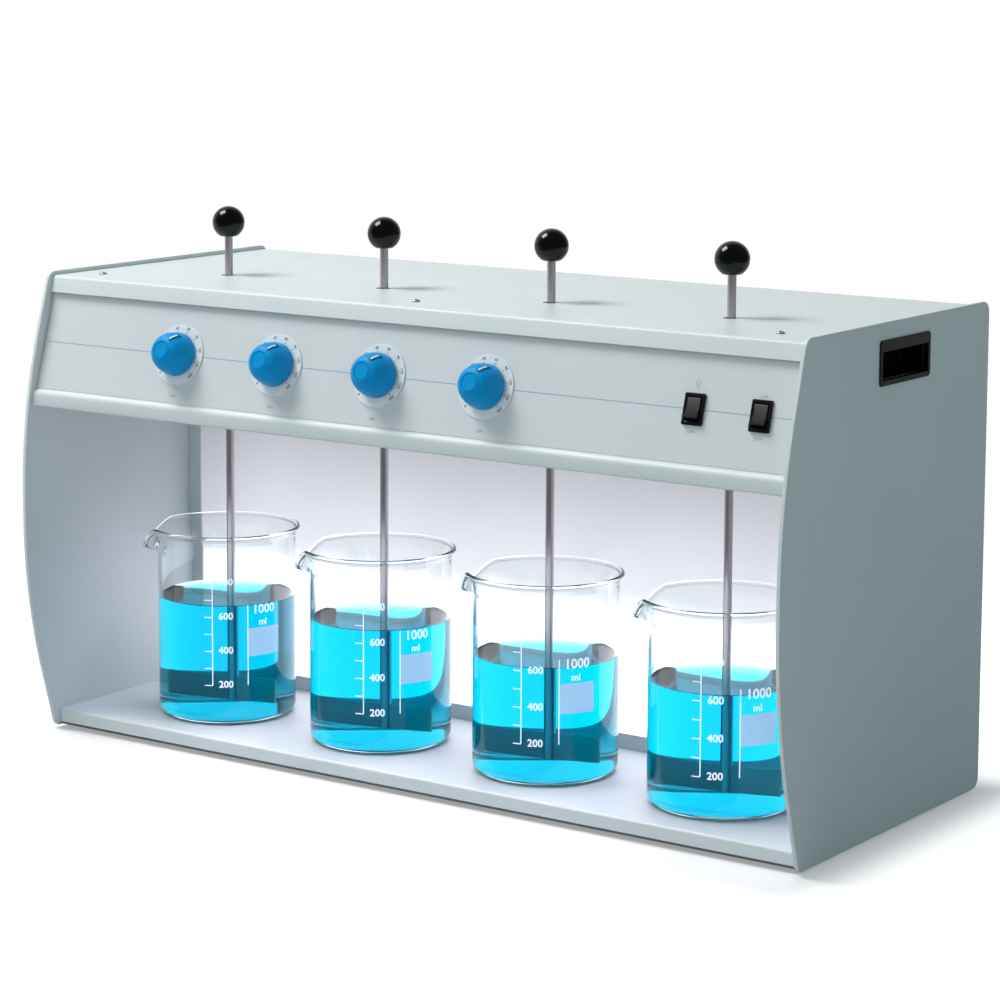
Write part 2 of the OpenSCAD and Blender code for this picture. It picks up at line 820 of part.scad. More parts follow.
module mains_inlet() {
    y0 = back_y - inlet_depth;
    color(black)
        translate([inlet_x, 0, inlet_z]) {
            difference() {
                union() {
                    box([-inlet_w / 2, back_y, -inlet_h / 2], [inlet_w / 2, back_y + flange_t, inlet_h / 2]);
                    box([-inlet_body / 2, y0, -inlet_body / 2],
                        [inlet_body / 2, back_y + eps, inlet_body / 2]);
                }
                // socket with two cut corners
                along_y(back_y - socket_depth, back_y + flange_t + 1)
                    polygon([[-12, -5], [12, -5], [12, 7], [8, 11.5], [-8, 11.5], [-12, 7]]);
                // slot of the fuse drawer
                box([-drawer_w / 2 - clear, back_y + flange_t - drawer_l - 4, drawer_z - clear],
                    [drawer_w / 2 + clear, back_y + flange_t + 1, drawer_z + drawer_h + clear]);
                for (sx = [-1, 1])
                    translate([sx * 20, back_y + flange_t / 2, 0])
                        rotate([90, 0, 0])
                            cylinder(d = 3.4, h = 2 * flange_t, center = true, $fn = 32);
            }
            // three flat pins
            for (p = [[-7, 1], [0, 5], [7, 1]])
                box([p[0] - 1, back_y - socket_depth - eps, p[1] - 2], [p[0] + 1, back_y - 7, p[1] + 2]);
        }
}

// Extrudes an (x, z) outline from y0 to y1
module along_y(y0, y1) {
    translate([0, y1, 0])
        rotate([90, 0, 0])
            linear_extrude(y1 - y0)
                children();
}

// Drawer with a thumb lip and a trough for one fuse
module fuse_drawer() {
    front = back_y + flange_t;
    color(black)
        translate([inlet_x, 0, inlet_z + drawer_z])
            difference() {
                box([-drawer_w / 2, front - drawer_l, 0], [drawer_w / 2, front - 0.2, drawer_h]);
                box([-fuse_l / 2 - clear, front - drawer_l + 2, 1],
                    [fuse_l / 2 + clear, front - 6, drawer_h + 1]);
                box([-4, front - 1.2, 1], [4, front + 1, 3]);
            }
}

// Cartridge fuse with a metal cap at each end
module fuse() {
    color(steel)
        translate([inlet_x, back_y + flange_t - drawer_l + 6, inlet_z + drawer_z + 1 + fuse_d / 2])
            rotate([0, 90, 0]) {
                cylinder(d = fuse_d - 0.6, h = fuse_l, center = true, $fn = 32);
                for (sx = [-1, 1])
                    translate([0, 0, sx * (fuse_l / 2 - 2.5)])
                        cylinder(d = fuse_d, h = 5, center = true, $fn = 32);
            }
}

// ---------- drive and stirrers ----------

// Worm gearbox with two bearing seats and a motor on its rear face
module gearmotor(i) {
    mid = bracket_top + gearbox_h / 2;
    color([0.55, 0.57, 0.6])
        at_place(i) {
            difference() {
                union() {
                    box([-gearbox_w / 2, -gearbox_front, bracket_top],
                        [gearbox_w / 2, gearbox_rear, gearbox_top]);
                    translate([0, gearbox_rear - eps, mid])
                        rotate([-90, 0, 0]) {
                            cylinder(d = motor_d, h = motor_l - 6);
                            cylinder(d = motor_d - 14, h = motor_l);
                        }
                }
                translate([0, 0, bracket_top - 1])
                    cylinder(d = collar_d, h = gearbox_h + 2);
                for (z = [bracket_top - 1, gearbox_top - bearing_h])
                    translate([0, 0, z])
                        cylinder(d = bearing_d, h = bearing_h + 1);
            }
        }
}

module spindle_bearings() {
    color(steel)
        for (i = [0:3], z = [bracket_top, gearbox_top - bearing_h])
            at_place(i)
                translate([0, 0, z])
                    ring(bearing_d, spindle_d + 2 * run_fit, bearing_h);
}

// Hollow spindle that grips the rod, with a collar on the upper bearing and a chuck below
module spindle(i) {
    bore_r = rod_d / 2 + run_fit;
    r = spindle_d / 2;
    c = collar_d / 2;
    seat = gearbox_top + 0.2;
    chuck_top = housing_z + 4;
    color(steel)
        at_place(i)
            rotate_extrude()
                polygon([[bore_r, spindle_low], [c - 3, spindle_low], [c - 0.5, spindle_low + 4],
                    [c - 0.5, chuck_top], [r, chuck_top], [r, seat], [c, seat],
                    [c, seat + collar_h], [r, seat + collar_h], [r, spindle_top], [bore_r, spindle_top]]);
}

// Stirring rod with its paddle set in a slot at the lower end
module stirrer(i) {
    color(steel)
        at_place(i) {
            translate([0, 0, paddle_z])
                cylinder(d = rod_d, h = ball_z - paddle_z);
            translate([-paddle_w / 2, -paddle_t / 2, paddle_z])
                cube([paddle_w, paddle_t, paddle_h]);
        }
}

// Ball knob with a flat underside and a blind bore for the rod
module ball_knob(i) {
    flat_z = ball_z - ball_r + ball_flat;
    color(black)
        at_place(i)
            difference() {
                translate([0, 0, ball_z])
                    sphere(d = ball_d);
                translate([-ball_r, -ball_r, flat_z - ball_d])
                    cube([ball_d, ball_d, ball_d]);
                translate([0, 0, flat_z - 1])
                    cylinder(d = rod_d, h = ball_z - flat_z + 1);
            }
}

// ---------- beakers ----------

// Shares of the spout's reach and of its dip at an angle from the spout's middle: the glass
// is drawn out over a quarter turn each way, and dips over the spread only
function reach_share(turn) = pow(max(0, cos(turn)), 2);
function dip_share(turn) =
    let (off = abs(turn > 180 ? turn - 360 : turn))
    pow(max(0, 1 - off / spout_spread), 1.4);
// Share of both at a height: none below the spout, all of it over the rolled rim
function spout_rise(z) =
    pow(min(1, max(0, (z - rim_top + spout_h) / (spout_h - 2 * rim_bead))), 1.25);

// Section of the glass, as [radius, height] from the middle of its underside up the wall,
// over the rolled rim and down inside to the middle of its floor
function glass_section() =
    let (r = beaker_d / 2, inner = r - glass_t, bead_r = rim_d / 2 - rim_bead)
    let (out_steps = [1, 0.8, 0.6, 0.42], in_steps = [0.42, 0.6, 0.8, 1])
    concat(
        round_corner([0, base_top], [r, base_top], [r, rim_top], beaker_r, 4),
        [for (k = out_steps) [r, rim_top - k * spout_h]],
        [[r, rim_top - rim_flare], [r + 0.35 * (bead_r - r), rim_top - 0.6 * rim_flare]],
        [for (a = [-50:50:200]) [bead_r, rim_top - rim_bead] + rim_bead * [cos(a), sin(a)]],
        [[inner + 0.35 * (bead_r - r), rim_top - 0.6 * rim_flare], [inner, rim_top - rim_flare]],
        [for (k = in_steps) [inner, rim_top - k * spout_h]],
        round_corner([inner, rim_top], [inner, beaker_floor], [0, beaker_floor],
            beaker_r - glass_t, 4));

// Low-form beaker, lofted in rings: rounded bottom edge, rolled rim, and a spout whose lip
// dips below the rim
module beaker(i) {
    n = 48;
    section = glass_section();
    rings = len(section);
    points = concat([[0, 0, base_top]],
        [for (p = section, k = [0:n - 1])
            let (turn = 360 * k / n, rise = spout_rise(p[1]))
            let (r = p[0] + rise * reach_share(turn) * spout_reach)
            [r * cos(turn), r * sin(turn), p[1] - rise * dip_share(turn) * spout_dip]],
        [[0, 0, beaker_floor]]);
    last = rings * n + 1;
    faces = concat(
        [for (k = [0:n - 1]) [0, 1 + k, 1 + (k + 1) % n]],
        [for (j = [0:rings - 2], k = [0:n - 1])
            let (a = 1 + j * n + k, b = 1 + j * n + (k + 1) % n)
            each [[a, a + n, b + n], [a, b + n, b]]],
        [for (k = [0:n - 1]) [last - n + k, last, last - n + (k + 1) % n]]);
    color([0.8, 0.93, 0.95, 0.4])
        at_place(i)
            translate([beaker_dx, beaker_dy, eps])
                rotate([0, 0, spout_turns[i]])
                    polyhedron(points, faces);
}

// ---------- fasteners ----------

module screw(length) {
    cylinder(d = screw_head_d, h = screw_head_h, $fn = 32);
    translate([0, 0, -length])
        cylinder(d = screw_d, h = length + eps, $fn = 32);
}

module screws() {
    color(steel) {
        for (x = cover_screw_x)
            translate([x, cover_screw_y, cover_z])
                screw(7);
        for (x = rear_screw_x) {
            translate([x, cover_rear, cover_z - rear_lip / 2])
                rotate([-90, 0, 0])
                    screw(7);
            translate([x, back_y, (plate_z + base_top - sheet_t) / 2])
                rotate([-90, 0, 0])
                    screw(1.4);
        }
    }
}

mirror([1, 0, 0]) side_panel();  // left_side_panel
side_panel();  // right_side_panel
mirror([1, 0, 0]) carry_handle();  // left_handle
carry_handle();  // right_handle
top_cover();
control_panel();
panel_overlay();
front_rail();
mechanism_floor();
motor_bracket();
base_tray();
bottom_plate();
feet();
light_frame();
diffuser_panel();
reflector();
lamp_tube();
lamp_holders();
ballast();
rear_cover();
power_supply();
control_board();
speed_selectors();
gearmotor(0);  // gearmotor_1
gearmotor(1);  // gearmotor_2
gearmotor(2);  // gearmotor_3
gearmotor(3);  // gearmotor_4
spindle_bearings();
spindle(0);  // spindle_1
spindle(1);  // spindle_2
spindle(2);  // spindle_3
spindle(3);  // spindle_4
stirrer(0);  // stirrer_1
stirrer(1);  // stirrer_2
stirrer(2);  // stirrer_3
stirrer(3);  // stirrer_4
ball_knob(0);  // ball_knob_1
ball_knob(1);  // ball_knob_2
ball_knob(2);  // ball_knob_3
ball_knob(3);  // ball_knob_4
dial_plates();
speed_knob(0);  // speed_knob_1
speed_knob(1);  // speed_knob_2
speed_knob(2);  // speed_knob_3
speed_knob(3);  // speed_knob_4
selector_shaft(0);  // selector_shaft_1
selector_shaft(1);  // selector_shaft_2
selector_shaft(2);  // selector_shaft_3
selector_shaft(3);  // selector_shaft_4
switch_housings();
rocker(switches[0]);  // lamp_rocker
rocker(switches[1]);  // power_rocker
mains_inlet();
fuse_drawer();
fuse();
beaker(0);  // beaker_1
beaker(1);  // beaker_2
beaker(2);  // beaker_3
beaker(3);  // beaker_4
screws();
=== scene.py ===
"""Looks of a four-place bench jar tester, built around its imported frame.

Lengths are in metres, in the frame's own axes: +X right, -Y front, +Z up, bench at z = 0.
"""

import json
import math
from math import cos, pi, radians, sin

import bmesh
import bpy
from mathutils import Matrix, Vector

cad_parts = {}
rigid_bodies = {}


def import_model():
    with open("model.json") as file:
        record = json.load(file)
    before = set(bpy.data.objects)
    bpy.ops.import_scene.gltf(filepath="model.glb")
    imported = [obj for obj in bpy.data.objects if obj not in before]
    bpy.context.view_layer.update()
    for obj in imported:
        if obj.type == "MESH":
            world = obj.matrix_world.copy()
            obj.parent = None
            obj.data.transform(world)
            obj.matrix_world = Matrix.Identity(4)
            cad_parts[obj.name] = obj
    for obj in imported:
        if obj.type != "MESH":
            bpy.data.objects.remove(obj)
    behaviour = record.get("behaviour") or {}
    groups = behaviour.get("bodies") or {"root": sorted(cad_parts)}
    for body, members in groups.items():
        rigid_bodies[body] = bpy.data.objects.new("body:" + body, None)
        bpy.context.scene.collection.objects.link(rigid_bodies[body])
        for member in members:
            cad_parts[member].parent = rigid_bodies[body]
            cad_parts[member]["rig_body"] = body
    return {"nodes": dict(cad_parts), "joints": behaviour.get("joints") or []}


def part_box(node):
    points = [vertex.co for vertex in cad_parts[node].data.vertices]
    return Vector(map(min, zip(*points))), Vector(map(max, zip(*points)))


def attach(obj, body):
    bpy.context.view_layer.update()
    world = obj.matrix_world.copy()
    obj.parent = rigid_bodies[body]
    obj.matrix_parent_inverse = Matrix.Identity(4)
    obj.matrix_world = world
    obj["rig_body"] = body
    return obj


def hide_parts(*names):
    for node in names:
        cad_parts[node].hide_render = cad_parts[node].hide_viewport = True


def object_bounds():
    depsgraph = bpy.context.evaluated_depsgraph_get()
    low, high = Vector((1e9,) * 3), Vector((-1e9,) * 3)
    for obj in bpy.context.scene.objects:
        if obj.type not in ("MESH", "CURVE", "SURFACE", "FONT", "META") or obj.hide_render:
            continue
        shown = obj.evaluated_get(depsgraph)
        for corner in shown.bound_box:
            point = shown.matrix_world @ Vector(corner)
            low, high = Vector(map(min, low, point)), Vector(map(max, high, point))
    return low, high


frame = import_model()
cad_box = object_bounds()

MM = 0.001
NODES = frame["nodes"]
JOINTS = {joint["name"]: joint for joint in frame["joints"]}
PLACES = (1, 2, 3, 4)
# Angle from which an edge counts as sharp
SHARP = 35

# Camera that took the picture
CAMERA_PLACE = (1.2785, -1.8090, 0.5970)
CAMERA_YAW = 0.6118
CAMERA_PITCH = 0.1292
CAMERA_ROLL = 0.0043
CAMERA_LENS = 112.78
CAMERA_SHIFT_Y = -0.16

# Studio: light from all round, and the side from which reflections show the white surroundings
AMBIENT = (0.24, 0.32, 0.335, 1)
WHITE_SIDE = (-0.77, 0.64, 0)
STUDIO_DIM = 0.12
# Lamps: place, aim, size, power, colour, and whether reflections show the lamp
LAMPS = {
    "key_light": ((-1.1, -0.62, 2.2), (0, 0, 0.3), (1.0, 1.0), 47, (1, 0.985, 0.965), True),
    "side_light": ((1.4, -1.5, 0.45), (0.3, -0.1, 0.2), (0.3, 0.9), 2.8, (0.93, 0.97, 1), False),
    "front_light": ((-0.75, -2.2, 0.55), (0, -0.1, 0.2), (0.45, 1.0), 6, (1, 0.97, 0.95), False),
    "bay_light": ((0, -0.045, 0.243), (0, -0.05, 0), (0.56, 0.1), 0.5, (0.84, 0.76, 1), False),
}
BAY_SPREAD = 75
# Floor: tones as light falls on it, in a mirror and to the camera; its glow near the object and
# past the reach of its painted shade (the weaker glow near the object darkens the floor round it,
# over the object's cast shadow); and where it runs out into white
FLOOR_TONE = (0.5, 0.52, 0.53, 1)
FLOOR_MIRRORED = (0.06, 0.06, 0.06, 1)
FLOOR_SEEN = (0.6, 0.6, 0.6, 1)
FLOOR_GLOW = (0.3, 0.85)
SHADOW_AND_PAINTED_SHADE_REACH = 0.05
FLOOR_FADE = (0.6, 1.0)
FLOOR_HALF = 3

# Control panel's film: height and tone of its painted shade, a darker strip under the cover's lip
LIP_SHADE = 9 * MM
PAINTED_LIP_SHADE_TONE = (92, 104, 110)

# Diffuser: heights between which its glow grows, and the glow at both; where its ends grow dim
DIFFUSER_TINT = (0.93, 0.945, 1.0, 1)
DIFFUSER_UPPER = (0.215, 0.125, 0.47, 0.84)
DIFFUSER_LOWER = (0.13, 0.10, 0, 1.1)
DIFFUSER_ENDS = (0.33, 0.22, 0.75, 1.0)

# Side panels: the front edge is upright in its middle, bows into a lean, and ends in round corners
SIDE_FLAT = (165 * MM, 185 * MM)
SIDE_LEAN = 16
SIDE_CORNER_Y = -112 * MM
SIDE_TOP_R = 8 * MM
SIDE_LOW_R = 6 * MM
SIDE_REAR_R = 8 * MM
SIDE_BOW_STEPS = 14
BEZEL_LAP = 2 * MM
# Front rail: depth of its nose, and how far the nose is drawn back
RAIL_NOSE = 6 * MM
RAIL_BACK = 2.5 * MM

# Screws: size of the heads, and the places of the first one and the next in each row
SCREW_R = 3 * MM
SCREW_H = 1.6 * MM
COVER_SCREWS = (-295 * MM, 290 * MM)
REAR_SCREWS = (-289.5 * MM, 289.5 * MM)
LIP_SCREW_DROP = 7 * MM

# Stirrers
PADDLE_H = 18 * MM
ROD_R = 3 * MM

# Dials and switches
DIAL_T = 1 * MM
DIAL_SCALE = (0, 10, 15, 30, 45, 60, 90, 120, 150, 200)
DIAL_STEP = 30
DIAL_START = -135
NUMBER_R = 19.7 * MM
NUMBER_H = 2.9 * MM
TICK_R = 16.8 * MM
UNIT_DROP = 29.4 * MM
UNIT_H = 3.2 * MM
SWITCH_WORD_H = 3 * MM
SWITCH_WORD_SPACING = 1.25
OFF_RISE = -14.6 * MM
ON_RISE = 12.6 * MM
LAMP_SIGN_RISE = 17 * MM
POINTER_TURN = 30
KNOB_R = 15.7 * MM
KNOB_CAP_R = 7.6 * MM
KNOB_BASE = 2 * MM
KNOB_TOP = 21.2 * MM
KNOB_EDGE = 0.6 * MM
KNOB_BOW = 0.83
# Pointer's fin and its line: half width, how proud of the flank, and the bends between which it runs
POINTER_FIN = (1.15 * MM, 0.7 * MM, 76, 28)
POINTER_LINE = (0.62 * MM, 1.0 * MM, 70, 38)
POINTER_ROOT = 1.2 * MM
LINE_H = 0.6 * MM
LINE_ENDS = (-316 * MM, 317 * MM)
PRINT_T = 0.04 * MM

# Beakers, as in the part's source
BEAKER_D = 102.6 * MM
BEAKER_RIM_D = 109.6 * MM
BEAKER_GLASS = 2 * MM
BEAKER_EDGE_R = 8 * MM
BEAKER_FLOOR = 3.2 * MM
RIM_BEAD = 1.5 * MM
RIM_FLARE = 9 * MM
SPOUT_REACH = 9.5 * MM
SPOUT_DIP = 16.5 * MM
SPOUT_H = 36 * MM
SPOUT_SPREAD = 28
SPOUT_BEAK = 32
# Share of the reach that the whole half of the rim takes part in, and how high up the reach starts
SPOUT_ROUND = 0.3
SPOUT_NECK = 0.45
SPOUT_TURNS = (208, 204, 194, 197)
BEAKER_OFFSET = (2 * MM, -7 * MM)
# Height of the water above the bench in each beaker
WATER_LEVELS = (104 * MM, 105 * MM, 98 * MM, 100 * MM)
MENISCUS = 1.2 * MM
GLASS_IOR = 1.47
WATER_IOR = 1.33
SURFACE_IOR = 1.15
WATER_TINT = (0.0, 0.899, 0.947, 1)
WATER_DENSITY = 80
# Volume print: angle of its scale, and heights of the marks above the bench
SCALE_TURNS = (297.7, 293.4, 285.2, 284.1)
SCALE_LOW = 45.5 * MM
SCALE_STEP = 12.8 * MM
SCALE_MARKS = 7
TICK_W, TICK_H = 6 * MM, 0.7 * MM
SCALE_LINE_W = 0.75 * MM
SCALE_NUMBER_H = 7.2 * MM
VOLUME_H = 9.5 * MM
UNIT_WORD_H = 7 * MM
FIELD_X, FIELD_W = 26 * MM, 27 * MM
FIELD_HEIGHTS = (67 * MM, 88 * MM)


def colour(red, green, blue):
    """A colour given in the usual 0 to 255 steps, as the shader wants it."""
    def linear(step):
        share = step / 255
        return share / 12.92 if share <= 0.04045 else ((share + 0.055) / 1.055) ** 2.4
    return (linear(red), linear(green), linear(blue), 1)


# ---------- camera, light and floor ----------

def place_camera():
    data = bpy.data.cameras.new("camera")
    data.sensor_width = 36
    data.lens = CAMERA_LENS
    data.shift_y = CAMERA_SHIFT_Y
    data.clip_end = 50
    camera = bpy.data.objects.new("camera", data)
    bpy.context.scene.collection.objects.link(camera)
    ahead = Vector((-sin(CAMERA_YAW) * cos(CAMERA_PITCH), cos(CAMERA_YAW) * cos(CAMERA_PITCH),
                    -sin(CAMERA_PITCH)))
    level = Vector((cos(CAMERA_YAW), sin(CAMERA_YAW), 0))
    above = level.cross(ahead)
    right = level * cos(CAMERA_ROLL) + above * sin(CAMERA_ROLL)
    up = right.cross(ahead)
    turn = Matrix((right, up, -ahead)).transposed().to_4x4()
    camera.matrix_world = Matrix.Translation(CAMERA_PLACE) @ turn
    bpy.context.scene.camera = camera


def soft_light(name, place, aim, size, power, tint=(1, 1, 1), reflected=True):
    data = bpy.data.lights.new(name, "AREA")
    data.shape = "RECTANGLE"
    data.size, data.size_y = size
    data.energy = power
    data.color = tint
    lamp = bpy.data.objects.new(name, data)
    bpy.context.scene.collection.objects.link(lamp)
    lamp.location = place
    lamp.rotation_euler = (Vector(aim) - Vector(place)).to_track_quat("-Z", "Y").to_euler()
    lamp.visible_camera = False
    lamp.visible_transmission = False
    lamp.visible_glossy = reflected
    return lamp


def fed_node(tree, kind, *values, **settings):
    """Adds a node, feeds its first inputs in their order with outputs or plain values, and
    returns its outputs."""
    node = tree.nodes.new(kind)
    for setting, value in settings.items():
        setattr(node, setting, value)
    for socket, value in zip(node.inputs, values):
        if isinstance(value, bpy.types.NodeSocket):
            tree.links.new(value, socket)
        else:
            socket.default_value = value
    return node.outputs


def math_node(tree, operation, first, second=0):
    return fed_node(tree, "ShaderNodeMath", first, second, operation=operation)[0]


def vector_node(tree, operation, first, second=(0, 0, 0), result="Vector"):
    return fed_node(tree, "ShaderNodeVectorMath", first, second, operation=operation)[result]


def range_node(tree, value, start, stop, low, high, curve="LINEAR"):
    return fed_node(tree, "ShaderNodeMapRange", value, start, stop, low, high,
                    interpolation_type=curve)["Result"]


def colour_mix(tree, share, first, second):
    return fed_node(tree, "ShaderNodeMixRGB", share, first, second)["Color"]


def own_place(tree):
    """Object coordinates."""
    return tree.nodes.new("ShaderNodeTexCoord").outputs["Object"]


def along_axis(tree, axis):
    """One of the Object coordinates."""
    return fed_node(tree, "ShaderNodeSeparateXYZ", own_place(tree))[axis]


def seen_directly(tree, vector):
    """Share of plain white that a ray sees: all of it from the camera or through glass, and in
    a reflection all of it behind the object and to its left, less in the studio's dim rest."""
    path = tree.nodes.new("ShaderNodeLightPath")
    along = vector_node(tree, "DOT_PRODUCT", vector, WHITE_SIDE, "Value")
    mirrored = range_node(tree, along, 0.2, 0.9, STUDIO_DIM, 1)
    mirrored = math_node(tree, "MULTIPLY", mirrored, path.outputs["Is Glossy Ray"])
    seen = math_node(tree, "MAXIMUM", path.outputs["Is Camera Ray"],
                     path.outputs["Is Transmission Ray"])
    return math_node(tree, "MAXIMUM", seen, mirrored)


def light_studio():
    world = bpy.data.worlds.new("studio")
    bpy.context.scene.world = world
    world.use_nodes = True
    tree = world.node_tree
    in_mirror = tree.nodes.new("ShaderNodeLightPath").outputs["Is Glossy Ray"]
    ambient = colour_mix(tree, in_mirror, AMBIENT, (0, 0, 0, 1))
    direction = tree.nodes.new("ShaderNodeTexCoord").outputs["Generated"]
    sky = colour_mix(tree, seen_directly(tree, direction), ambient, (1, 1, 1, 1))
    tree.links.new(sky, tree.nodes["Background"].inputs["Color"])
    lamps = {name: soft_light(name, *settings) for name, settings in LAMPS.items()}
    lamps["bay_light"].data.spread = radians(BAY_SPREAD)


def lay_floor():
    """Pale floor that keeps the object's shadow near it, with painted shade from a weaker glow round
    the object, and runs out into plain white.
    """
    material = bpy.data.materials.new("floor")
    material.use_nodes = True
    tree = material.node_tree
    tree.nodes.remove(tree.nodes["Principled BSDF"])
    in_mirror = tree.nodes.new("ShaderNodeLightPath").outputs["Is Glossy Ray"]
    tone = colour_mix(tree, in_mirror, FLOOR_TONE, FLOOR_MIRRORED)
    matt = fed_node(tree, "ShaderNodeBsdfDiffuse", tone)[0]
    place = own_place(tree)
    beside = vector_node(tree, "ABSOLUTE", place)
    beside = vector_node(tree, "SUBTRACT", beside, (cad_box[1][0], cad_box[1][1], 0))
    beside = vector_node(tree, "MAXIMUM", beside, (0, 0, 0))
    beside = vector_node(tree, "LENGTH", beside, result="Value")
    # painted shade: the glow is weaker near the object, so the floor darkens round it on top of its
    # cast shadow
    strength = range_node(tree, beside, 0, SHADOW_AND_PAINTED_SHADE_REACH, *FLOOR_GLOW, "SMOOTHSTEP")
    glow = fed_node(tree, "ShaderNodeEmission", (1, 1, 1, 1), strength)[0]
    pale = fed_node(tree, "ShaderNodeBsdfDiffuse", FLOOR_SEEN)[0]
    lit = fed_node(tree, "ShaderNodeAddShader", pale, glow)[0]
    white = tree.nodes.new("ShaderNodeEmission").outputs[0]
    away = vector_node(tree, "LENGTH", place, result="Value")
    fade = range_node(tree, away, *FLOOR_FADE, 0, 1)
    shown = fed_node(tree, "ShaderNodeMixShader", fade, lit, white)[0]
    surface = fed_node(tree, "ShaderNodeMixShader", seen_directly(tree, place), matt, shown)[0]
    tree.links.new(surface, tree.nodes["Material Output"].inputs["Surface"])
    mesh = bpy.data.meshes.new("floor")
    corners = [(x * FLOOR_HALF, y * FLOOR_HALF, 0) for x, y in ((-1, -1), (1, -1), (1, 1), (-1, 1))]
    mesh.from_pydata(corners, [], [(0, 1, 2, 3)])
    mesh.materials.append(material)
    floor = bpy.data.objects.new("floor", mesh)
    bpy.context.scene.collection.objects.link(floor)


# ---------- materials ----------

class Finish:
    """A material whose detail comes from noise on Object coordinates."""

    def __init__(self, name, base, roughness, metallic=0, **sockets):
        self.material = bpy.data.materials.new(name)
        self.material.use_nodes = True
        self.tree = self.material.node_tree
        self.shader = self.tree.nodes["Principled BSDF"]
        self.base = base
        self.shader.inputs["Base Color"].default_value = base
        self.shader.inputs["Roughness"].default_value = roughness
        self.shader.inputs["Metallic"].default_value = metallic
        for socket, value in sockets.items():
            self.shader.inputs[socket.replace("_", " ")].default_value = value

    def noise(self, size, detail=2, stretch=(1, 1, 1)):
        """Noise with features of about the given size; stretch draws it out along an axis."""
        mapping = self.tree.nodes.new("ShaderNodeMapping")
        mapping.inputs["Scale"].default_value = [1 / s for s in stretch]
        noise = self.tree.nodes.new("ShaderNodeTexNoise")
        noise.inputs["Scale"].default_value = 0.5 / size
        noise.inputs["Detail"].default_value = detail
        self.tree.links.new(own_place(self.tree), mapping.inputs["Vector"])
        self.tree.links.new(mapping.outputs["Vector"], noise.inputs["Vector"])
        return noise.outputs["Fac"]

    def spread(self, value, low, high):
        """Maps a noise value to a range."""
        return range_node(self.tree, value, 0.3, 0.7, low, high)

    def tint(self, share, other):
        """Mixes another colour in by a share."""
        socket = self.shader.inputs["Base Color"]
        first = socket.links[0].from_socket if socket.links else self.base
        self.tree.links.new(colour_mix(self.tree, share, first, other), socket)

    def mottle(self, value, other, share):
        """Mixes another colour in where the noise is high."""
        self.tint(self.spread(value, 0, share), other)

    def rough(self, value, low, high):
        self.tree.links.new(self.spread(value, low, high), self.shader.inputs["Roughness"])

    def bump(self, value, height, strength):
        """Raises the surface by up to the given height."""
        bump = self.tree.nodes.new("ShaderNodeBump")
        bump.inputs["Distance"].default_value = height
        bump.inputs["Strength"].default_value = strength
        self.tree.links.new(value, bump.inputs["Height"])
        self.tree.links.new(bump.outputs["Normal"], self.shader.inputs["Normal"])

    def glow(self, tint, strength):
        self.shader.inputs["Emission Color"].default_value = tint
        if isinstance(strength, bpy.types.NodeSocket):
            self.tree.links.new(strength, self.shader.inputs["Emission Strength"])
        else:
            self.shader.inputs["Emission Strength"].default_value = strength


def powder_coat(name, base, shade):
    """Baked powder paint: fine orange peel, a little tone variation."""
    finish = Finish(name, base, 0.42, Specular_IOR_Level=0.45)
    finish.mottle(finish.noise(60 * MM, 3), shade, 0.5)
    finish.rough(finish.noise(9 * MM, 4), 0.38, 0.5)
    finish.bump(finish.noise(0.9 * MM, 2), 0.03 * MM, 0.5)
    return finish


def moulded(name, base, shade, roughness, level=0.5):
    """Injection moulded plastic with a fine spark-eroded grain."""
    finish = Finish(name, base, roughness, Specular_IOR_Level=level)
    finish.mottle(finish.noise(14 * MM, 3), shade, 0.6)
    finish.rough(finish.noise(3 * MM, 4), roughness * 0.85, roughness * 1.2)
    finish.bump(finish.noise(0.5 * MM, 2), 0.01 * MM, 0.4)
    return finish.material


def overlay_film():
    """Printed film of the control panel, with painted shade: darker in the corner under the cover's
    lip.
    """
    finish = powder_coat("overlay_film", colour(214, 217, 219), colour(208, 212, 214))
    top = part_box("panel_overlay")[1].z
    height = along_axis(finish.tree, "Z")
    # painted shade: the film darkens towards its top edge, where the cover's lip shades it
    finish.tint(range_node(finish.tree, height, top - LIP_SHADE, top, 0, 1, "SMOOTHSTEP"),
                colour(*PAINTED_LIP_SHADE_TONE))
    return finish.material


def drawn_steel(name, base, shade, roughness, along):
    """Metal with drawing or brushing marks along an axis."""
    finish = Finish(name, base, roughness, 1.0)
    marks = finish.noise(0.12 * MM, 3, along)
    finish.mottle(finish.noise(10 * MM, 3, along), shade, 0.6)
    finish.rough(marks, roughness * 0.75, roughness * 1.35)
    finish.bump(marks, 0.004 * MM, 0.5)
    return finish.material


def printing_ink(name, base, lit=0):
    """Flat ink; the glow given to enamel on glass is painted light, standing in for the light that
    shines through it from behind.
    """
    finish = Finish(name, base, 0.5)
    finish.glow(base, lit)
    paler = tuple(min(1, c * 1.35 + 0.02) for c in base[:3]) + (1,)
    finish.mottle(finish.noise(0.8 * MM, 3), paler, 0.5)
    return finish.material


def clear_glass(name, ior):
    finish = Finish(name, (0.94, 0.96, 0.97, 1), 0.0, Transmission_Weight=1.0, IOR=ior)
    finish.bump(finish.noise(38 * MM, 1), 0.12 * MM, 0.25)
    return finish.material


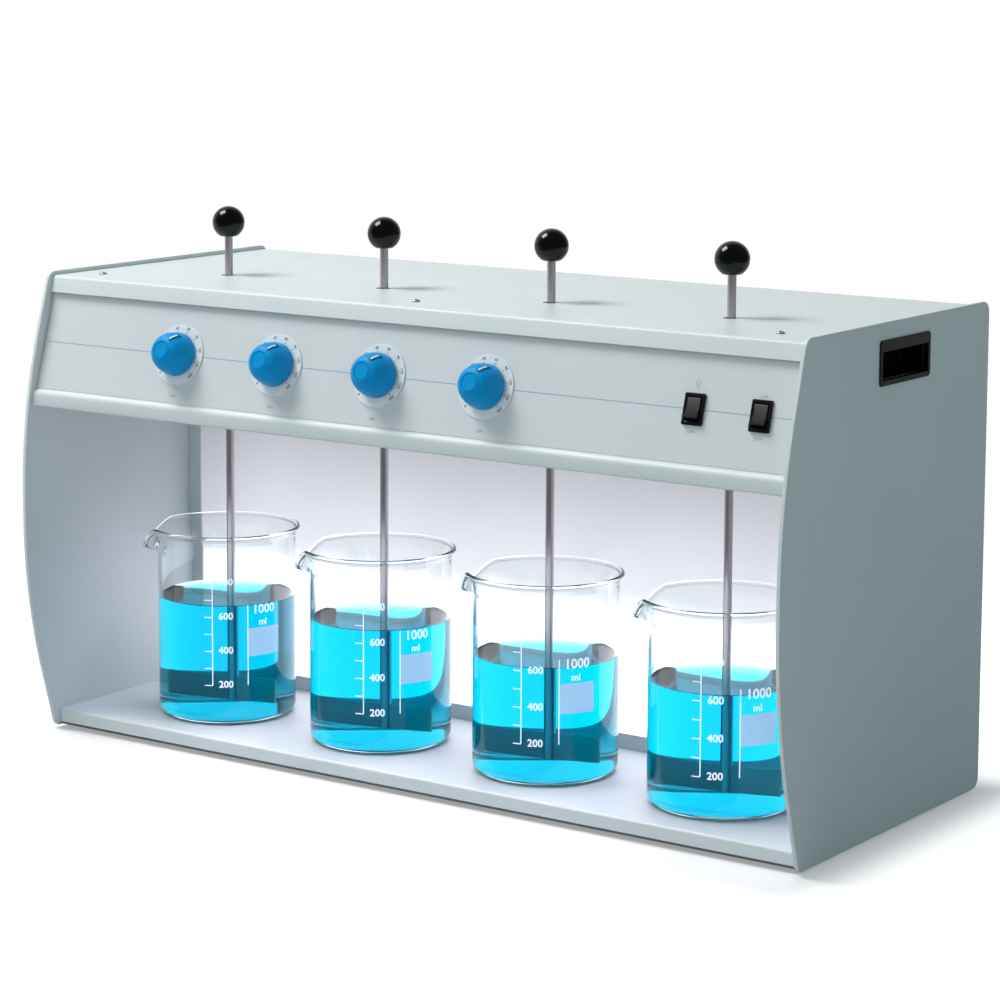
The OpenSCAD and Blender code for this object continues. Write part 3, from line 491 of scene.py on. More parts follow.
def blue_water():
    """Clear water dyed blue: its colour comes from the depth that light passes.

    Only the open surface bends light by itself; where the water wets the glass, the glass's own
    inner wall has the ratio of the two."""
    finish = Finish("blue_water", (0.97, 0.99, 1, 1), 0.0, Transmission_Weight=1.0)
    finish.bump(finish.noise(22 * MM, 1), 0.1 * MM, 0.2)
    tree = finish.tree
    normal = tree.nodes.new("ShaderNodeNewGeometry").outputs["True Normal"]
    up = math_node(tree, "ABSOLUTE", fed_node(tree, "ShaderNodeSeparateXYZ", normal)["Z"])
    raised = math_node(tree, "GREATER_THAN", along_axis(tree, "Z"), min(WATER_LEVELS) - 5 * MM)
    open_surface = math_node(tree, "MULTIPLY", math_node(tree, "GREATER_THAN", up, 0.2), raised)
    tree.links.new(range_node(tree, open_surface, 0, 1, 1.0, SURFACE_IOR), finish.shader.inputs["IOR"])
    absorption = fed_node(tree, "ShaderNodeVolumeAbsorption", WATER_TINT, WATER_DENSITY)[0]
    tree.links.new(absorption, tree.nodes["Material Output"].inputs["Volume"])
    return finish.material


def lit_diffuser():
    """Opal sheet lit from behind by a straight lamp: greyer at its top and its two ends."""
    finish = Finish("lit_diffuser", (0.2, 0.2, 0.23, 1), 0.2)
    tree = finish.tree
    height = along_axis(tree, "Z")
    upper = range_node(tree, height, *DIFFUSER_UPPER)
    lower = range_node(tree, height, *DIFFUSER_LOWER, "SMOOTHSTEP")
    side = math_node(tree, "ABSOLUTE", along_axis(tree, "X"))
    ends = range_node(tree, side, *DIFFUSER_ENDS, "SMOOTHSTEP")
    finish.glow(DIFFUSER_TINT, math_node(tree, "MULTIPLY", math_node(tree, "ADD", upper, lower), ends))
    return finish.material


def make_finishes():
    return {
        "paint": powder_coat("powder_coat", colour(216, 222, 223), colour(206, 213, 215)).material,
        "film": overlay_film(),
        "zinc": drawn_steel("zinc_sheet", colour(180, 184, 186), colour(160, 166, 170), 0.4,
                            (30, 1, 1)),
        "stainless": drawn_steel("stainless_steel", colour(206, 198, 204), colour(194, 186, 194), 0.36,
                                 (1, 1, 60)),
        "paddle": powder_coat("blasted_steel", colour(214, 212, 216), colour(198, 196, 201)).material,
        "ball": moulded("polished_ball", colour(2, 3, 4), colour(4, 5, 6), 0.12, level=0.35),
        "black": moulded("black_moulding", colour(5, 6, 8), colour(9, 10, 12), 0.32, level=0.4),
        "rocker": moulded("rocker_moulding", colour(16, 20, 24), colour(22, 26, 30), 0.4),
        "rubber": moulded("foot_rubber", colour(28, 28, 29), colour(40, 40, 41), 0.7),
        "knob": moulded("blue_knob", colour(0, 150, 214), colour(0, 142, 206), 0.4, level=0.16),
        # darker blue of the pointer fin: painted shade, standing for the fin's shaded sides
        "fin_painted_shade": moulded("pointer_painted_shade", colour(0, 120, 176), colour(0, 112, 166), 0.4,
                             level=0.16),
        "dial": moulded("white_dial", colour(228, 234, 237), colour(218, 226, 230), 0.4),
        "white": printing_ink("white_ink", colour(236, 240, 248)),
        # the enamel's and the writing field's glow is painted light, standing in for the diffuser's
        # light shining through the print
        "enamel": printing_ink("white_enamel", colour(226, 234, 246), 0.55),
        "field": printing_ink("writing_field", colour(150, 190, 222), 0.5),
        "grey_ink": printing_ink("grey_ink", colour(128, 134, 142)),
        "dark_ink": printing_ink("dark_ink", colour(66, 71, 78)),
        "blue_ink": printing_ink("blue_ink", colour(120, 170, 200)),
        "reflector": moulded("white_reflector", colour(235, 236, 238), colour(222, 224, 228), 0.5),
        "board": moulded("green_board", colour(20, 92, 52), colour(14, 74, 42), 0.35),
        "casting": powder_coat("grey_casting", colour(120, 125, 130), colour(100, 106, 112)).material,
        "glass": clear_glass("beaker_glass", GLASS_IOR),
        "wet_glass": clear_glass("wetted_glass", GLASS_IOR / WATER_IOR),
        "water": blue_water(),
        "diffuser": lit_diffuser(),
    }


# ---------- mesh tools ----------

def add_object(name, mesh):
    piece = bpy.data.objects.new(name, mesh)
    bpy.context.scene.collection.objects.link(piece)
    return piece


def smooth(mesh, angle=SHARP):
    mesh.shade_smooth()
    mesh.set_sharp_from_angle(angle=radians(angle))


def finished(name, mesh, material, body, nodes=()):
    """Makes a mesh a piece of the object that rides on a body and stands for CAD nodes."""
    mesh.materials.clear()
    mesh.materials.append(material)
    piece = add_object(name, mesh)
    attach(piece, body)
    if nodes:
        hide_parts(*nodes)
    return piece


def body_of(node):
    return NODES[node]["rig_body"]


def plain_mesh(bm, name, place=None, angle=None):
    """Ends a bmesh: moves it to a place, and smooths it below an angle."""
    if place:
        bmesh.ops.transform(bm, matrix=place, verts=bm.verts)
    mesh = bpy.data.meshes.new(name)
    bm.to_mesh(mesh)
    bm.free()
    if angle:
        smooth(mesh, angle)
    return mesh


def baked(holder):
    """Swaps an object for the plain mesh that its modifiers or its curve make."""
    evaluated = holder.evaluated_get(bpy.context.evaluated_depsgraph_get())
    mesh = bpy.data.meshes.new_from_object(evaluated)
    bpy.data.objects.remove(holder)
    return mesh


def circle(bm, radius, height, steps):
    return [bm.verts.new((radius * cos(2 * pi * k / steps), radius * sin(2 * pi * k / steps), height))
            for k in range(steps)]


def skin(bm, rings):
    """Faces between neighbouring rings of points; a ring may be a single point."""
    for low, high in zip(rings, rings[1:]):
        for k in range(max(len(low), len(high))):
            corners = [low[k % len(low)], low[(k + 1) % len(low)], high[(k + 1) % len(high)],
                       high[k % len(high)]]
            bm.faces.new(list(dict.fromkeys(corners)))


def outwards(bm):
    bmesh.ops.recalc_face_normals(bm, faces=bm.faces)


def merged_copy(node):
    """The CAD node's solid as one welded mesh with flat faces joined up."""
    bm = bmesh.new()
    bm.from_mesh(NODES[node].data)
    bmesh.ops.remove_doubles(bm, verts=bm.verts, dist=1e-6)
    bmesh.ops.dissolve_limit(bm, angle_limit=radians(0.4), verts=bm.verts, edges=bm.edges)
    return plain_mesh(bm, node)


def dressed(node, material, edge, steps=2, mesh=None):
    """Stands for a CAD node: the same solid, or the given one, with its sharp edges broken and
    its curves smooth."""
    mesh = mesh or merged_copy(node)
    smooth(mesh)
    if edge:
        holder = add_object(node + "_piece", mesh)
        bevel = holder.modifiers.new("edges", "BEVEL")
        bevel.width = edge
        bevel.segments = steps
        bevel.limit_method = "ANGLE"
        bevel.angle_limit = radians(SHARP)
        bevel.use_clamp_overlap = False
        bevel.harden_normals = True
        mesh = baked(holder)
    return finished(node + "_piece", mesh, material, body_of(node), [node])


def lathe_mesh(name, profile, place, steps=96):
    """Turned solid: profile is a list of (radius, height) from axis to axis."""
    bm = bmesh.new()
    skin(bm, [circle(bm, radius, height, steps) if radius > 1e-9 else [bm.verts.new((0, 0, height))]
              for radius, height in profile])
    outwards(bm)
    return plain_mesh(bm, name, place, SHARP)


def box_mesh(name, low, high, place=None, cuts=0):
    """Box between two corners; cuts divide it along X so that it can be bent."""
    bm = bmesh.new()
    bmesh.ops.create_cube(bm, size=1)
    size = Vector(high) - Vector(low)
    centre = (Vector(high) + Vector(low)) / 2
    bmesh.ops.transform(bm, matrix=Matrix.Translation(centre) @ Matrix.Diagonal((*size, 1)),
                        verts=bm.verts)
    for cut in range(1, cuts + 1):
        x = low[0] + size.x * cut / (cuts + 1)
        bmesh.ops.bisect_plane(bm, geom=bm.verts[:] + bm.edges[:] + bm.faces[:], plane_co=(x, 0, 0),
                               plane_no=(1, 0, 0))
    return plain_mesh(bm, name, place)


def text_mesh(words, size, place, weight=0.0, spacing=1.0):
    """Lettering as a thin solid, centred on the place's origin, in its XY plane."""
    curve = bpy.data.curves.new("words", "FONT")
    curve.body = words
    curve.size = size
    curve.align_x = "CENTER"
    curve.align_y = "CENTER"
    curve.extrude = PRINT_T
    curve.offset = weight
    curve.space_character = spacing
    curve.resolution_u = 3
    mesh = baked(add_object("words", curve))
    mesh.transform(place)
    return mesh


def joined(name, meshes):
    """One mesh of several, with the seams between their own faces welded."""
    bm = bmesh.new()
    for mesh in meshes:
        part = bmesh.new()
        part.from_mesh(mesh)
        bmesh.ops.remove_doubles(part, verts=part.verts, dist=1e-7)
        bm.from_mesh(plain_mesh(part, "part"))
    return plain_mesh(bm, name)


# ---------- Geometry Nodes ----------

class NodeTree:
    """A Geometry Nodes tree with named inputs, which ends in one plain mesh of one material."""

    def __init__(self, name, **inputs):
        self.tree = bpy.data.node_groups.new(name, "GeometryNodeTree")
        kinds = {float: "NodeSocketFloat", int: "NodeSocketInt", tuple: "NodeSocketVector",
                 bpy.types.Material: "NodeSocketMaterial", bpy.types.Object: "NodeSocketObject"}
        self.values = {}
        for label, value in inputs.items():
            socket = self.tree.interface.new_socket(label, in_out="INPUT",
                                                    socket_type=kinds[type(value)])
            self.values[socket.identifier] = value
        self.tree.interface.new_socket("Geometry", in_out="OUTPUT", socket_type="NodeSocketGeometry")
        self.inputs = self.tree.nodes.new("NodeGroupInput").outputs

    def add(self, kind, links=None, **settings):
        """Adds a node; links maps its input names to outputs or plain values."""
        node = self.tree.nodes.new(kind)
        for setting, value in settings.items():
            setattr(node, setting, value)
        for label, source in (links or {}).items():
            socket = node.inputs[label]
            if isinstance(source, bpy.types.NodeSocket):
                self.tree.links.new(source, socket)
            else:
                socket.default_value = source
        return node.outputs[0]

    def build(self, name, instances):
        """Realizes the instances, sets the material and returns the plain mesh."""
        real = self.add("GeometryNodeRealizeInstances", {"Geometry": instances})
        done = self.add("GeometryNodeSetMaterial",
                        {"Geometry": real, "Material": self.inputs["Material"]})
        output = self.tree.nodes.new("NodeGroupOutput")
        self.tree.links.new(done, output.inputs["Geometry"])
        holder = add_object(name, bpy.data.meshes.new(name))
        modifier = holder.modifiers.new("nodes", "NODES")
        modifier.node_group = self.tree
        for identifier, value in self.values.items():
            modifier[identifier] = value
        return baked(holder)


def ring_of_marks(name, count, radius, start, step, size, material):
    """Short bars that point to a centre, a step apart, in the XY plane."""
    tree = NodeTree("marks_on_a_ring", Count=count, Radius=float(radius), Start=float(start),
                    Step=float(step), Size=tuple(size), Material=material)
    points = tree.add("GeometryNodeMeshLine", {"Count": tree.inputs["Count"], "Offset": (0, 0, 0)})
    bar = tree.add("GeometryNodeMeshCube", {"Size": tree.inputs["Size"]})
    reach = tree.add("ShaderNodeCombineXYZ", {"Y": tree.inputs["Radius"]})
    placed = tree.add("GeometryNodeTransform", {"Geometry": bar, "Translation": reach})
    turn = tree.add("ShaderNodeMath", {0: tree.add("GeometryNodeInputIndex"), 1: tree.inputs["Step"]},
                    operation="MULTIPLY")
    turned = tree.add("ShaderNodeMath", {0: turn, 1: tree.inputs["Start"]}, operation="ADD")
    rotation = tree.add("ShaderNodeCombineXYZ", {"Z": turned})
    marks = tree.add("GeometryNodeInstanceOnPoints",
                     {"Points": points, "Instance": placed, "Rotation": rotation})
    return tree.build(name, marks)


def row_of(name, part, count, first, offset, material):
    """Copies of a part in a row."""
    tree = NodeTree("row", Count=count, First=tuple(first), Offset=tuple(offset), Part=part,
                    Material=material)
    points = tree.add("GeometryNodeMeshLine", {"Count": tree.inputs["Count"],
                                               "Start Location": tree.inputs["First"],
                                               "Offset": tree.inputs["Offset"]})
    shape = tree.tree.nodes.new("GeometryNodeObjectInfo")
    tree.tree.links.new(tree.inputs["Part"], shape.inputs["Object"])
    copies = tree.add("GeometryNodeInstanceOnPoints",
                      {"Points": points, "Instance": shape.outputs["Geometry"]})
    return tree.build(name, copies)


# ---------- housing ----------

def rounded_corner(before, corner, after, radius, steps=8):
    """Points of an arc that rounds a corner of an outline."""
    into = (Vector(corner) - Vector(before)).normalized()
    out = (Vector(after) - Vector(corner)).normalized()
    half = into.angle(out) / 2
    way = 1 if into.cross(out) > 0 else -1
    start = Vector(corner) - into * radius * math.tan(half)
    centre = start + Vector((-into.y, into.x)) * way * radius
    turn = 2 * half * way
    arm = start - centre
    return [tuple(centre + Matrix.Rotation(turn * k / steps, 2) @ arm) for k in range(steps + 1)]


def side_outline(low, high):
    """Side panel as (y, z): square behind with rounded corners, bowed and leaning in front."""
    lean = radians(SIDE_LEAN)
    drop = SIDE_CORNER_Y - low.y
    bows = []
    for middle, end in ((SIDE_FLAT[1], high.z), (SIDE_FLAT[0], low.z)):
        # radius that carries the bow from the flat middle into the lean that ends at the corner
        rise = abs(end - middle)
        radius = (rise * math.tan(lean) - drop) / (math.tan(lean) * sin(lean) - (1 - cos(lean)))
        way = 1 if end > middle else -1
        turns = [lean * k / SIDE_BOW_STEPS for k in range(SIDE_BOW_STEPS + 1)]
        bows.append([(low.y + radius * (1 - cos(turn)), middle + way * radius * sin(turn))
                     for turn in turns])
    upper, lower = bows
    top, bottom = (SIDE_CORNER_Y, high.z), (SIDE_CORNER_Y, low.z)
    back_top, back_low = (high.y, high.z), (high.y, low.z)
    return (rounded_corner(bottom, back_low, back_top, SIDE_REAR_R)
            + rounded_corner(back_low, back_top, top, SIDE_REAR_R)
            + rounded_corner(back_top, top, upper[-1], SIDE_TOP_R) + upper[::-1] + lower
            + rounded_corner(lower[-1], bottom, back_low, SIDE_LOW_R))


def side_panel_mesh(node, cut_low, cut_high):
    """Side panel with its cut-out for the carry handle."""
    low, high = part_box(node)
    bm = bmesh.new()
    hole = [(cut_low.y, cut_low.z), (cut_high.y, cut_low.z), (cut_high.y, cut_high.z),
            (cut_low.y, cut_high.z)]
    for loop in (side_outline(low, high), hole):
        corners = [bm.verts.new((low.x, y, z)) for y, z in loop]
        for first, second in zip(corners, corners[1:] + corners[:1]):
            bm.edges.new((first, second))
    bmesh.ops.triangle_fill(bm, use_beauty=True, use_dissolve=False, edges=bm.edges[:])
    shell = bmesh.ops.extrude_face_region(bm, geom=bm.faces[:])
    bmesh.ops.translate(bm, verts=[v for v in shell["geom"] if isinstance(v, bmesh.types.BMVert)],
                        vec=(high.x - low.x, 0, 0))
    outwards(bm)
    bmesh.ops.dissolve_limit(bm, angle_limit=radians(0.2), verts=bm.verts, edges=bm.edges)
    return plain_mesh(bm, node)


def dress_housing(finish):
    for side in ("left", "right"):
        low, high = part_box(f"{side}_handle")
        lap = Vector((0, BEZEL_LAP, BEZEL_LAP))
        panel = side_panel_mesh(f"{side}_side_panel", low + lap, high - lap)
        dressed(f"{side}_side_panel", finish["paint"], 0.6 * MM, 3, mesh=panel)
    rail = merged_copy("front_rail")
    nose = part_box("front_rail")[0].y + RAIL_NOSE
    for vertex in rail.vertices:
        if vertex.co.y < nose:
            vertex.co.y += RAIL_BACK
    dressed("front_rail", finish["paint"], 0.25 * MM, mesh=rail)
    for nodes, name, edge, steps in (
            (("top_cover", "base_tray", "light_frame", "rear_cover"), "paint", 0.25 * MM, 2),
            (("left_handle", "right_handle"), "black", 0.7 * MM, 3),
            (("feet",), "rubber", 0.5 * MM, 2),
            (("mains_inlet", "fuse_drawer", "switch_housings"), "black", 0.4 * MM, 2),
            (("lamp_rocker", "power_rocker"), "rocker", 0.5 * MM, 3),
            (("panel_overlay",), "film", 0, 2),
            (("dial_plates",), "dial", 0.2 * MM, 2)):
        for node in nodes:
            dressed(node, finish[name], edge, steps)


def colour_inner_parts(finish):
    """CAD nodes whose solid is right as it is: each keeps its mesh and gets its material."""
    materials = {
        "paint": ("control_panel", "mechanism_floor"),
        "zinc": ("motor_bracket", "bottom_plate", "ballast", "power_supply"),
        "reflector": ("reflector", "lamp_tube", "lamp_holders", "fuse"),
        "board": ("control_board",),
        "black": ("speed_selectors",),
        "casting": tuple(f"gearmotor_{n}" for n in PLACES),
        "stainless": ("spindle_bearings",) + tuple(f"selector_shaft_{n}" for n in PLACES),
        "diffuser": ("diffuser_panel",),
    }
    for name, nodes in materials.items():
        for node in nodes:
            mesh = NODES[node].data
            mesh.materials.clear()
            mesh.materials.append(finish[name])


# ---------- screws ----------

def screw_head(radius, height):
    """Button head with a hexagon socket."""
    socket_r = 0.42 * radius
    socket_z = 0.45 * height
    dome = [(radius * cos(radians(a)), height * (0.35 + 0.65 * sin(radians(a))))
            for a in range(0, 61, 15)]
    bm = bmesh.new()
    steps = 24
    rings = [circle(bm, r, z, steps) for r, z in [(radius, 0)] + dome + [(socket_r * 1.25, height)]]
    for floor_z in (height, socket_z):
        ring = []
        for k in range(steps):
            turn = 2 * pi * k / steps
            flat = socket_r * cos(pi / 6) / cos((turn % (pi / 3)) - pi / 6)
            ring.append(bm.verts.new((flat * cos(turn), flat * sin(turn), floor_z)))
        rings.append(ring)
    skin(bm, rings)
    bm.faces.new(rings[-1])
    bm.faces.new(list(reversed(rings[0])))
    outwards(bm)
    return plain_mesh(bm, "screw_head", angle=30)


def fit_screws(finish):
    """Three screws in the top cover, three in its rear lip and three in the tray's rear edge."""
    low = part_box("screws")[0]
    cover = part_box("top_cover")[1]
    head = screw_head(SCREW_R, SCREW_H)
    upright = add_object("screw_upright", head.copy())
    turned = add_object("screw_turned", head.copy())
    turned.data.transform(Matrix.Rotation(radians(-90), 4, "X"))
    rows = [
        ("cover_screws", upright, COVER_SCREWS, low.y + SCREW_R, cover.z),
        ("rear_lip_screws", turned, REAR_SCREWS, cover.y, cover.z - LIP_SCREW_DROP),
        ("tray_screws", turned, REAR_SCREWS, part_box("rear_cover")[1].y, low.z + SCREW_R),
    ]
    meshes = [row_of(name, part, 3, (first, y, z), (pitch, 0, 0), finish["stainless"])
              for name, part, (first, pitch), y, z in rows]
    bpy.data.objects.remove(upright)
    bpy.data.objects.remove(turned)
    finished("screws_piece", joined("screws_piece", meshes), finish["stainless"], "root",
             ["screws"])


# ---------- control panel ----------

PANEL_NORMAL = Vector(JOINTS["speed_1"]["axis"]).normalized()


def on_panel(x, along=0.0, out=0.0):
    """Place on the overlay at a position along X, with +Z out of it; along is up the panel."""
    dial = Vector(JOINTS["speed_1"]["pos_m"])
    up = Vector((1, 0, 0)).cross(PANEL_NORMAL) * -1
    centre = Vector((x, dial.y, dial.z)) + up * along + PANEL_NORMAL * out
    turn = Matrix((Vector((1, 0, 0)), up, PANEL_NORMAL)).transposed().to_4x4()
    return Matrix.Translation(centre) @ turn


def dial_x(n):
    return JOINTS[f"speed_{n}"]["pos_m"][0]


def print_panel(finish):
    """Line, unit words and switch marks on the overlay."""
    line = box_mesh("line", (LINE_ENDS[0], -LINE_H / 2, 0), (LINE_ENDS[1], LINE_H / 2, PRINT_T),
                    on_panel(0))
    finished("overlay_line", line, finish["blue_ink"], "root")
    lamp_x = JOINTS["lamp_switch"]["pos_m"][0]
    power_x = JOINTS["power_switch"]["pos_m"][0]
    marks = [text_mesh("rpm", UNIT_H, on_panel(dial_x(n), -UNIT_DROP)) for n in PLACES]
    marks += [text_mesh(word, SWITCH_WORD_H, on_panel(x, rise), spacing=SWITCH_WORD_SPACING)
              for word, x, rise in (("OFF", lamp_x, OFF_RISE), ("OFF", power_x, OFF_RISE),
                                    ("ON", power_x, ON_RISE))]
    marks += lamp_sign(on_panel(lamp_x, LAMP_SIGN_RISE))
    finished("overlay_words", joined("overlay_words", marks), finish["grey_ink"], "root")


def flat_ring(radius, width, place, steps=32):
    """Thin printed ring."""
    inner, outer = radius - width / 2, radius + width / 2
    bm = bmesh.new()
    rings = [circle(bm, r, z, steps)
             for r, z in ((inner, 0), (outer, 0), (outer, PRINT_T), (inner, PRINT_T))]
    skin(bm, rings + rings[:1])
    outwards(bm)
    return plain_mesh(bm, "ring", place)


def lamp_sign(place):
    """Bulb with rays."""
    width = 0.3 * MM
    parts = [flat_ring(1.5 * MM, width, place)]
    for bar_y, half in ((-1.9 * MM, 0.7 * MM), (-2.6 * MM, 0.7 * MM), (-3.3 * MM, 0.4 * MM)):
        parts.append(box_mesh("bar", (-half, bar_y - width / 2, 0), (half, bar_y + width / 2, PRINT_T),
                              place))
    for turn in range(-90, 91, 45):
        ray = place @ Matrix.Rotation(radians(-turn), 4, "Z")
        parts.append(box_mesh("ray", (-width / 3, 2.2 * MM, 0), (width / 3, 3.1 * MM, PRINT_T), ray))
    return parts


def print_dials(finish):
    """Numbers and marks on the white plates."""
    meshes = []
    marks = ring_of_marks("dial_marks", len(DIAL_SCALE), TICK_R, radians(-DIAL_START),
                          -radians(DIAL_STEP), (0.3 * MM, 1.8 * MM, 2 * PRINT_T), finish["dark_ink"])
    for n in PLACES:
        plate = on_panel(dial_x(n), 0, DIAL_T)
        ticks = marks.copy()
        ticks.transform(plate)
        meshes.append(ticks)
        for k, number in enumerate(DIAL_SCALE):
            turn = Matrix.Rotation(radians(-(DIAL_START + DIAL_STEP * k)), 4, "Z")
            place = plate @ turn @ Matrix.Translation((0, NUMBER_R, 0))
            meshes.append(text_mesh(str(number), NUMBER_H, place, weight=0.05 * MM))
    finished("dial_print", joined("dial_print", meshes), finish["dark_ink"], "root")


def knob_flank(bend):
    """Radius and height on the knob's flank: a quarter of an ellipse blended with a cone."""
    share = bend / 90
    round_out, round_up = cos(radians(bend)), sin(radians(bend))
    skirt = KNOB_BASE + 2 * MM
    shoulder = KNOB_TOP - KNOB_EDGE
    return (KNOB_CAP_R + (KNOB_R - KNOB_CAP_R) * (KNOB_BOW * round_out + (1 - KNOB_BOW) * (1 - share)),
            skirt + (shoulder - skirt) * (KNOB_BOW * round_up + (1 - KNOB_BOW) * share))


def knob_profile():
    """Skirt, bowed flank, rounded shoulder, and a flat cap with a ring groove."""
    cavity_r, cap_t = KNOB_CAP_R - 0.6 * MM, 5 * MM
    groove_r, groove_w, groove_h = KNOB_CAP_R - 1.9 * MM, 0.8 * MM, 0.5 * MM
    inner = [(0, KNOB_TOP - cap_t), (cavity_r, KNOB_TOP - cap_t), (cavity_r, KNOB_BASE)]
    foot = [(KNOB_R - 0.5 * MM, KNOB_BASE), (KNOB_R - 0.15 * MM, KNOB_BASE + 0.15 * MM),
            (KNOB_R, KNOB_BASE + 0.5 * MM)]
    flank = [knob_flank(bend) for bend in range(0, 91, 6)]
    shoulder = [(KNOB_CAP_R - 0.12 * MM, KNOB_TOP - 0.2 * MM), (KNOB_CAP_R - 0.45 * MM, KNOB_TOP)]
    groove = [(groove_r + groove_w, KNOB_TOP), (groove_r + groove_w - 0.15 * MM, KNOB_TOP - groove_h),
              (groove_r + 0.15 * MM, KNOB_TOP - groove_h), (groove_r, KNOB_TOP), (0, KNOB_TOP)]
    return inner + foot + flank + shoulder + groove


def make_knobs(finish):
    """Blue knobs, each with a pointer fin down its flank that carries a white line; the fin is a darker
    blue, painted shade that stands for its shaded sides.
    """
    for n in PLACES:
        place = on_panel(dial_x(n)) @ Matrix.Rotation(radians(-POINTER_TURN), 4, "Z")
        ridden = f"knob_{n}_body"
        finished(f"knob_{n}_piece", lathe_mesh("knob", knob_profile(), place), finish["knob"], ridden,
                 [f"speed_knob_{n}"])
        # the fin's darker blue is painted shade
        finished(f"pointer_{n}_fin", pointer_fin(*POINTER_FIN, place), finish["fin_painted_shade"], ridden)
        finished(f"pointer_{n}_line", pointer_fin(*POINTER_LINE, place), finish["white"], ridden)


def pointer_fin(half_w, proud, high, low, place):
    """Fin that follows the flank between two bends and stands proud of it."""
    steps = 8
    ridge, root = [], []
    for k in range(steps + 1):
        bend = high + (low - high) * k / steps
        r, z = knob_flank(bend)
        ridge.append((r + proud * cos(radians(bend)), z + proud * sin(radians(bend))))
        root.append((r - POINTER_ROOT, z - POINTER_ROOT))
    outline = ridge + root[::-1]
    bm = bmesh.new()
    sides = [[bm.verts.new((x, r, z)) for r, z in outline] for x in (-half_w, half_w)]
    count = len(outline)
    bm.faces.new(sides[0])
    bm.faces.new(list(reversed(sides[1])))
    for k in range(count):
        after = (k + 1) % count
        bm.faces.new((sides[0][k], sides[1][k], sides[1][after], sides[0][after]))
    outwards(bm)
    rims = [edge for edge in bm.edges if edge.calc_face_angle(0) > radians(50)]
    bmesh.ops.bevel(bm, geom=rims, offset=0.15 * MM, segments=2, affect="EDGES")
    return plain_mesh(bm, "fin", place, 40)


# ---------- stirrers ----------

def ball_profile(radius, flat):
    """Ball with a bore for the rod and a flat under it, from its own centre."""
    start = math.asin(flat / radius)
    neck = radius * cos(start)
    profile = [(0, 0), (ROD_R, 0), (ROD_R, flat), (neck - 0.5 * MM, flat),
               (neck - 0.1 * MM, flat + 0.15 * MM)]
    steps = 48
    for k in range(1, steps):
        turn = start + (pi / 2 - start) * k / steps
        profile.append((radius * cos(turn), radius * sin(turn)))
    return profile + [(0, radius)]


def make_stirrers(finish):
    """Spindles, and rods that each carry a blasted paddle and a polished ball."""
    for n in PLACES:
        dressed(f"spindle_{n}", finish["stainless"], 0)
        stirrer = dressed(f"stirrer_{n}", finish["stainless"], 0.12 * MM)
        stirrer.data.materials.append(finish["paddle"])
        blade_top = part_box(f"stirrer_{n}")[0].z + PADDLE_H
        for face in stirrer.data.polygons:
            face.material_index = 1 if face.center.z < blade_top + 1 * MM else 0
        low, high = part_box(f"ball_knob_{n}")
        radius = (high.x - low.x) / 2
        centre = high.z - radius
        place = Matrix.Translation(((low.x + high.x) / 2, (low.y + high.y) / 2, centre))
        ball = lathe_mesh("ball", ball_profile(radius, low.z - centre), place)
        finished(f"ball_{n}_piece", ball, finish["ball"], f"stirrer_{n}_body",
                 [f"ball_knob_{n}"])


# ---------- beakers ----------

def arc(centre, radius, start, stop, steps):
    turns = [radians(start + (stop - start) * k / steps) for k in range(steps + 1)]
    return [(centre[0] + radius * cos(turn), centre[1] + radius * sin(turn)) for turn in turns]


def straight(first, last, steps):
    """Points after the first, up to and with the last."""
    return [(first[0] + (last[0] - first[0]) * k / steps, first[1] + (last[1] - first[1]) * k / steps)
            for k in range(1, steps + 1)]


def spout_pull(turn, height, rim):
    """How far the spout draws the glass out and down, at an angle from its middle and a height."""
    off = abs((turn + 180) % 360 - 180)
    soft = math.hypot(off, 2) - 2

    def rise(stretch, power):
        """How much of the pull reaches this height, from none at the stretch's foot to all."""
        return min(1, max(0, (height - rim + stretch) / (stretch - 2 * RIM_BEAD))) ** power

    def peak(angle):
        """How far two straight walls that meet in a point stand out past a round one."""
        return 1 / cos(radians(angle)) - 1

    beak = peak(max(0, SPOUT_BEAK - soft)) / peak(SPOUT_BEAK)
    out = SPOUT_ROUND * max(0, cos(radians(turn))) ** 2 + (1 - SPOUT_ROUND) * beak
    down = max(0, 1 - soft / SPOUT_SPREAD) ** 1.4
    return rise(SPOUT_NECK * SPOUT_H, 1.5) * out * SPOUT_REACH, rise(SPOUT_H, 1.25) * down * SPOUT_DIP


def glass_section(base, rim, level):
    """Section of the glass from under its middle, over its rolled rim, to the middle of its floor;
    a ring lies at the level to which it is wet."""
    wall = BEAKER_D / 2
    inner = wall - BEAKER_GLASS
    bead_r = BEAKER_RIM_D / 2 - RIM_BEAD
    inner_edge = BEAKER_EDGE_R - BEAKER_GLASS
    floor_z = base + BEAKER_FLOOR
    outer = [(0, base)] + arc((wall - BEAKER_EDGE_R, base + BEAKER_EDGE_R), BEAKER_EDGE_R, -90, 0, 10)
    outer += straight(outer[-1], (wall, rim - SPOUT_H), 6)
    outer += straight(outer[-1], (wall, rim - RIM_FLARE), 8)
    flare = [(wall + (bead_r - wall) * share ** 1.6, rim - RIM_FLARE * (1 - 0.8 * share))
             for share in (0.25, 0.5, 0.75)]
    bead = arc((bead_r, rim - RIM_BEAD), RIM_BEAD, -55, 200, 14)
    back = [(r - BEAKER_GLASS, z) for r, z in reversed(flare)]
    inside = straight((inner, rim - RIM_FLARE * 0.9), (inner, rim - SPOUT_H), 8)
    inside += straight(inside[-1], (inner, level), 2)
    inside += straight(inside[-1], (inner, floor_z + inner_edge), 6)
    corner = arc((inner - inner_edge, floor_z + inner_edge), inner_edge, 0, -90, 10)
    return outer + flare + bead + back + inside + corner[1:] + [(0, floor_z)]


